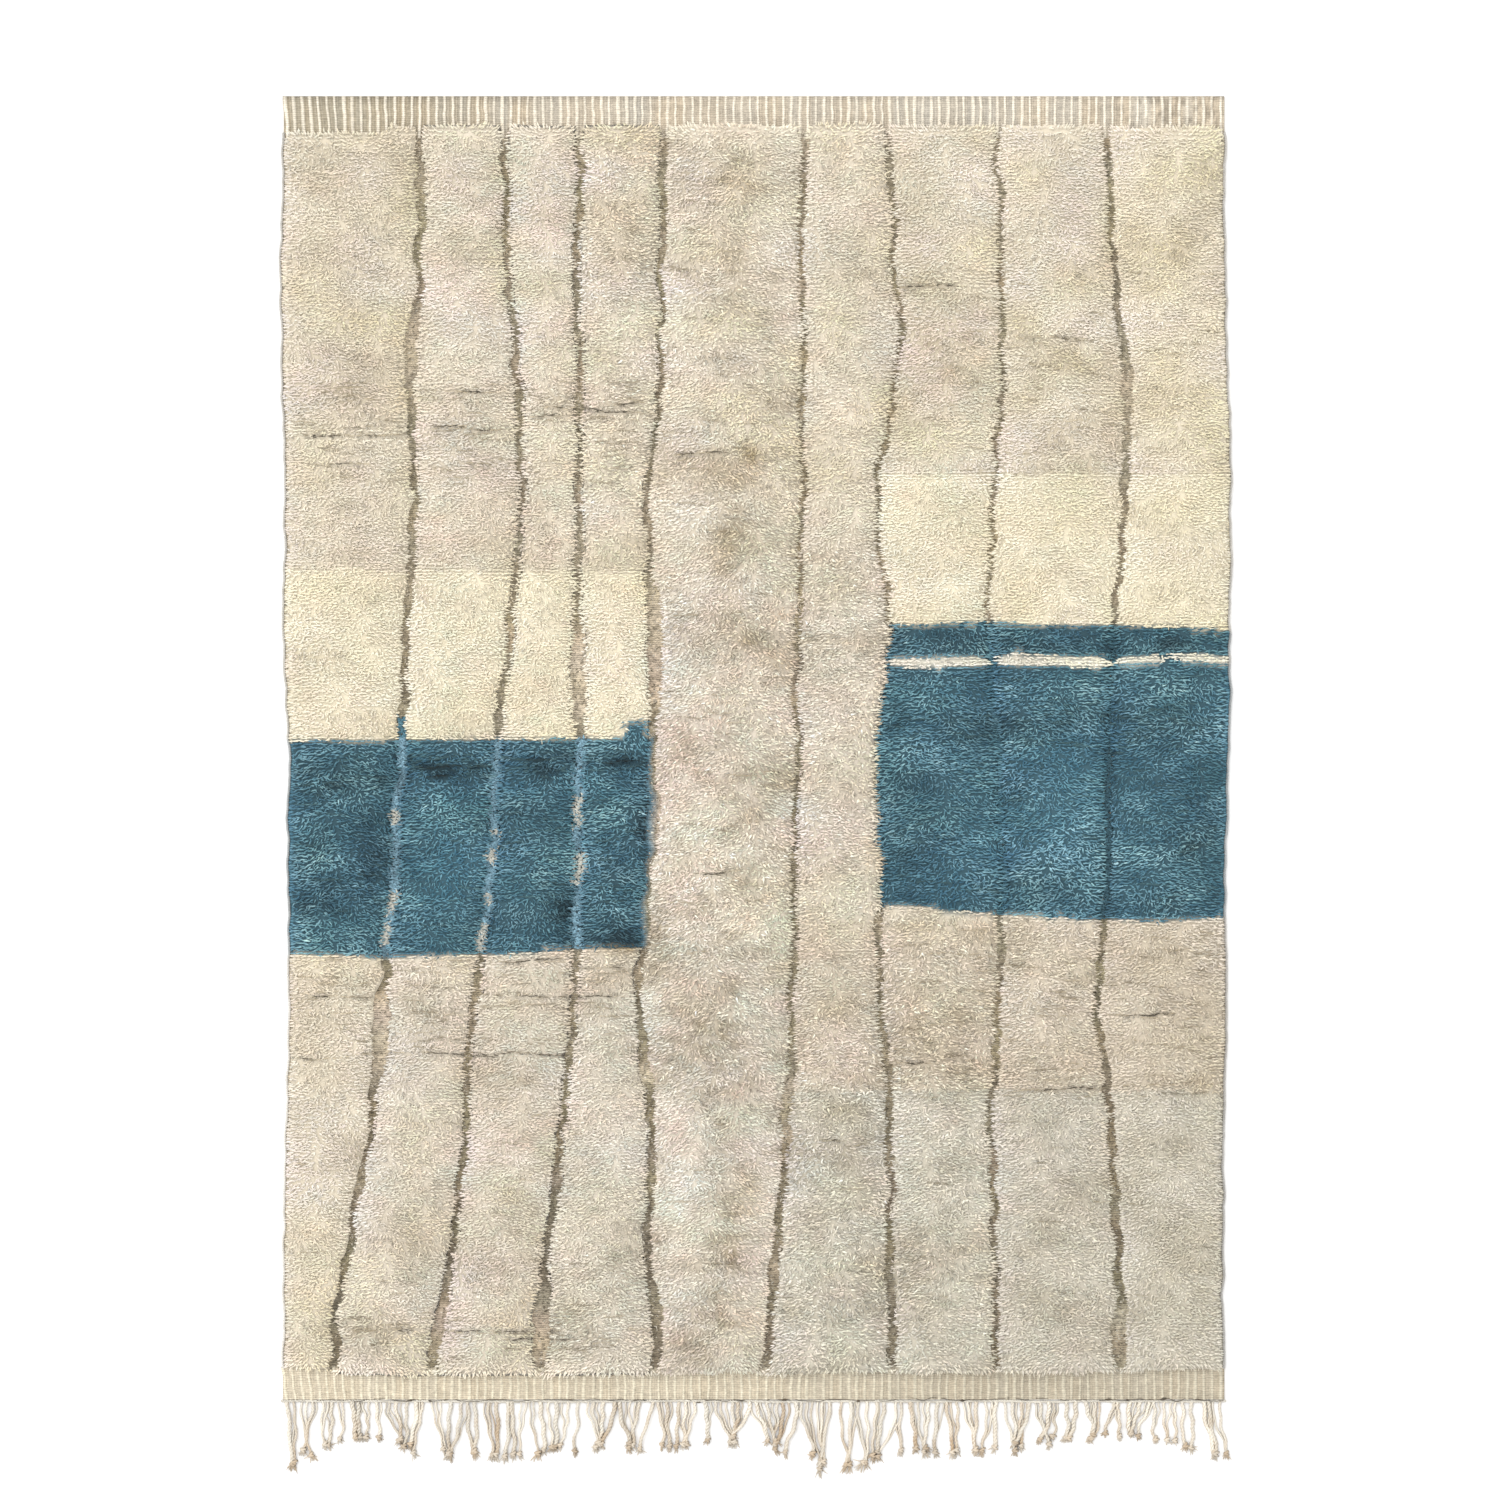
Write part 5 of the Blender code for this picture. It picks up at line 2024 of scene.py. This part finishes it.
    def twined_cord(self, finish: Finish) -> Piece:
        """Build the twined cord under the lower hem, with a dark thread above it that is partly a
        painted shadow line in the gap between the lower end and the cord.

        Args:
            finish: The yarn's finish.

        Returns:
            The cord and the thread as one piece.
        """
        left, right = self.plan.ends(-1)
        x = np.arange(left - 0.004, right + 0.004, self.cord_step)
        y = self.plan.lower_hem - 0.0042 + 0.0016 * wander_along(x, 0.05, 121)
        shade = np.array(self.palette.warp)
        for ply in (0.0, math.pi):
            turn = x / self.cord_turn * math.tau + ply
            path = np.stack([x, y + 0.0016 * np.cos(turn), 0.004 + 0.0014 * np.sin(turn)], 1)
            colour = shade[None] * (0.84 + 0.16 * wander_along(x, 0.02, 122, ply))[:, None]
            radius = self.cord_radius * (1 + 0.45 * wander_along(x, 0.009, 129, ply))
            self.cords.tube(path, radius, 5, colour, 0.3)
        x = np.arange(left, right, self.thread_step)
        y = self.plan.lower_hem - 0.001 + 0.0026 * wander_along(x, 0.06, 123)
        y = y + 0.0044 * wander_along(x, 0.02, 130)
        height = 0.0072 - 0.005 * ramp(wander_along(x, 0.022, 124), 0.0, 0.5)
        thick = 0.0006 * (1 + 0.6 * wander_along(x, 0.03, 125))
        thick = thick + 0.0021 * ramp(wander_along(x, 0.013, 127), 0.45, 0.85)
        # A thin dark twining thread that also stands for the shadow in the gap between the lower
        # end and the cord: partly painted shadow.
        dark = np.array(self.palette.hem_thread_and_shadow)
        dark = dark * (1.1 + 0.6 * wander_along(x, 0.015, 132))[:, None]
        self.cords.tube(np.stack([x, y, height], 1), thick, 4, dark)
        return self.cords.collect("hem_cord", finish)

    def build(self, finish: Finish) -> list[Piece]:
        """Build and dress the fringe and the cord that it hangs from.

        Args:
            finish: The yarn's finish.

        Returns:
            The fringe and the cord.
        """
        rng = np.random.default_rng(Seed.FRINGE)
        for index, pull in enumerate(self.bunches(rng)):
            self.strand(index, pull, rng)
        strands = self.cords.collect("warp_fringe_yarns", finish)
        return [strands, self.twined_cord(finish)]


# ---- studio


@dataclass
class Studio:
    """A plain pale floor, soft light from above and a camera square on."""

    view_width: float = 3.181
    aim_x: float = -0.0127
    aim_y: float = 0.0785
    lens: float = 100.0
    sensor: float = 36.0
    aim_height: float = 0.02
    floor_size: float = 40.0
    floor_gap: float = 0.0002
    floor_tone: tuple[float, ...] = (0.93, 0.93, 0.925, 1.0)
    sun_from: Triple = (-3.0, 2.4, 4.0)
    sun_strength: float = 1.3
    sun_spread: float = 50.0
    sky_strength: float = 1.13

    def floor(self) -> None:
        """Lay the floor, which is not part of the rug."""
        select()
        bpy.ops.mesh.primitive_plane_add(size=self.floor_size)
        plane = bpy.context.object
        plane.name = "floor"
        plane.location.z = -self.floor_gap
        book = NodeBook("pale_floor", roughness=0.9, sheen=0.0)
        book.shader.inputs["Base Color"].default_value = self.floor_tone
        plane.data.materials.append(book.material)

    def sun(self) -> None:
        """Add a wide soft lamp, far away, that lights the whole rug evenly."""
        lamp = bpy.data.lights.new("key", "SUN")
        lamp.angle = math.radians(self.sun_spread)
        lamp.energy = self.sun_strength
        holder = bpy.data.objects.new("key", lamp)
        bpy.context.scene.collection.objects.link(holder)
        holder.location = self.sun_from
        holder.rotation_euler = (-Vector(self.sun_from)).to_track_quat("-Z", "Y").to_euler()

    def camera(self) -> None:
        """Set the camera straight above, so that the whole frame is as wide as the photograph."""
        lens = bpy.data.cameras.new("camera")
        lens.lens = self.lens
        lens.sensor_width = self.sensor
        lens.clip_end = 200.0
        holder = bpy.data.objects.new("camera", lens)
        bpy.context.scene.collection.objects.link(holder)
        away = self.view_width * self.lens / self.sensor
        holder.location = (self.aim_x, self.aim_y, self.aim_height + away)
        bpy.context.scene.camera = holder

    def build(self) -> None:
        """Set up the whole studio."""
        self.floor()
        self.sun()
        world = bpy.data.worlds.new("studio")
        bpy.context.scene.world = world
        world.use_nodes = True
        sky = world.node_tree.nodes["Background"]
        sky.inputs["Color"].default_value = (1.0, 1.0, 1.0, 1.0)
        sky.inputs["Strength"].default_value = self.sky_strength
        bpy.context.scene.view_settings.view_transform = "Standard"
        self.camera()


# ---- assembly


def main() -> None:
    """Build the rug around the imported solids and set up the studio."""
    logging.basicConfig(level=logging.INFO, format="%(name)s %(message)s")
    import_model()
    plan, palette = Plan(), Palette()
    design = Design(plan, palette)
    woven = WovenWool().material()
    plied = PliedWool().material()

    wool = PileWool().material()
    panels = Pile(plan, design).build(wool)
    wisps = FurrowWisps(plan, design, palette).build(wool)
    weave = GroundWeave(plan, design, palette).build(woven)
    fringe, cord = Fringe(plan, palette).build(plied)

    for piece in (*panels, wisps, weave, fringe, cord):
        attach(piece, BODY)
    for piece in (*panels, wisps, weave):
        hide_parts("knotted_rug")
    for piece in (fringe, cord):
        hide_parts("warp_fringe")
    Studio().build()
    total = 0
    for piece in (*panels, wisps, weave, fringe, cord):
        piece.data.calc_loop_triangles()
        total += len(piece.data.loop_triangles)
        LOG.info("%s: %d triangles", piece.name, len(piece.data.loop_triangles))
    LOG.info("all pieces: %d triangles", total)
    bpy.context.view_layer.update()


if __name__ == "__main__":
    main()
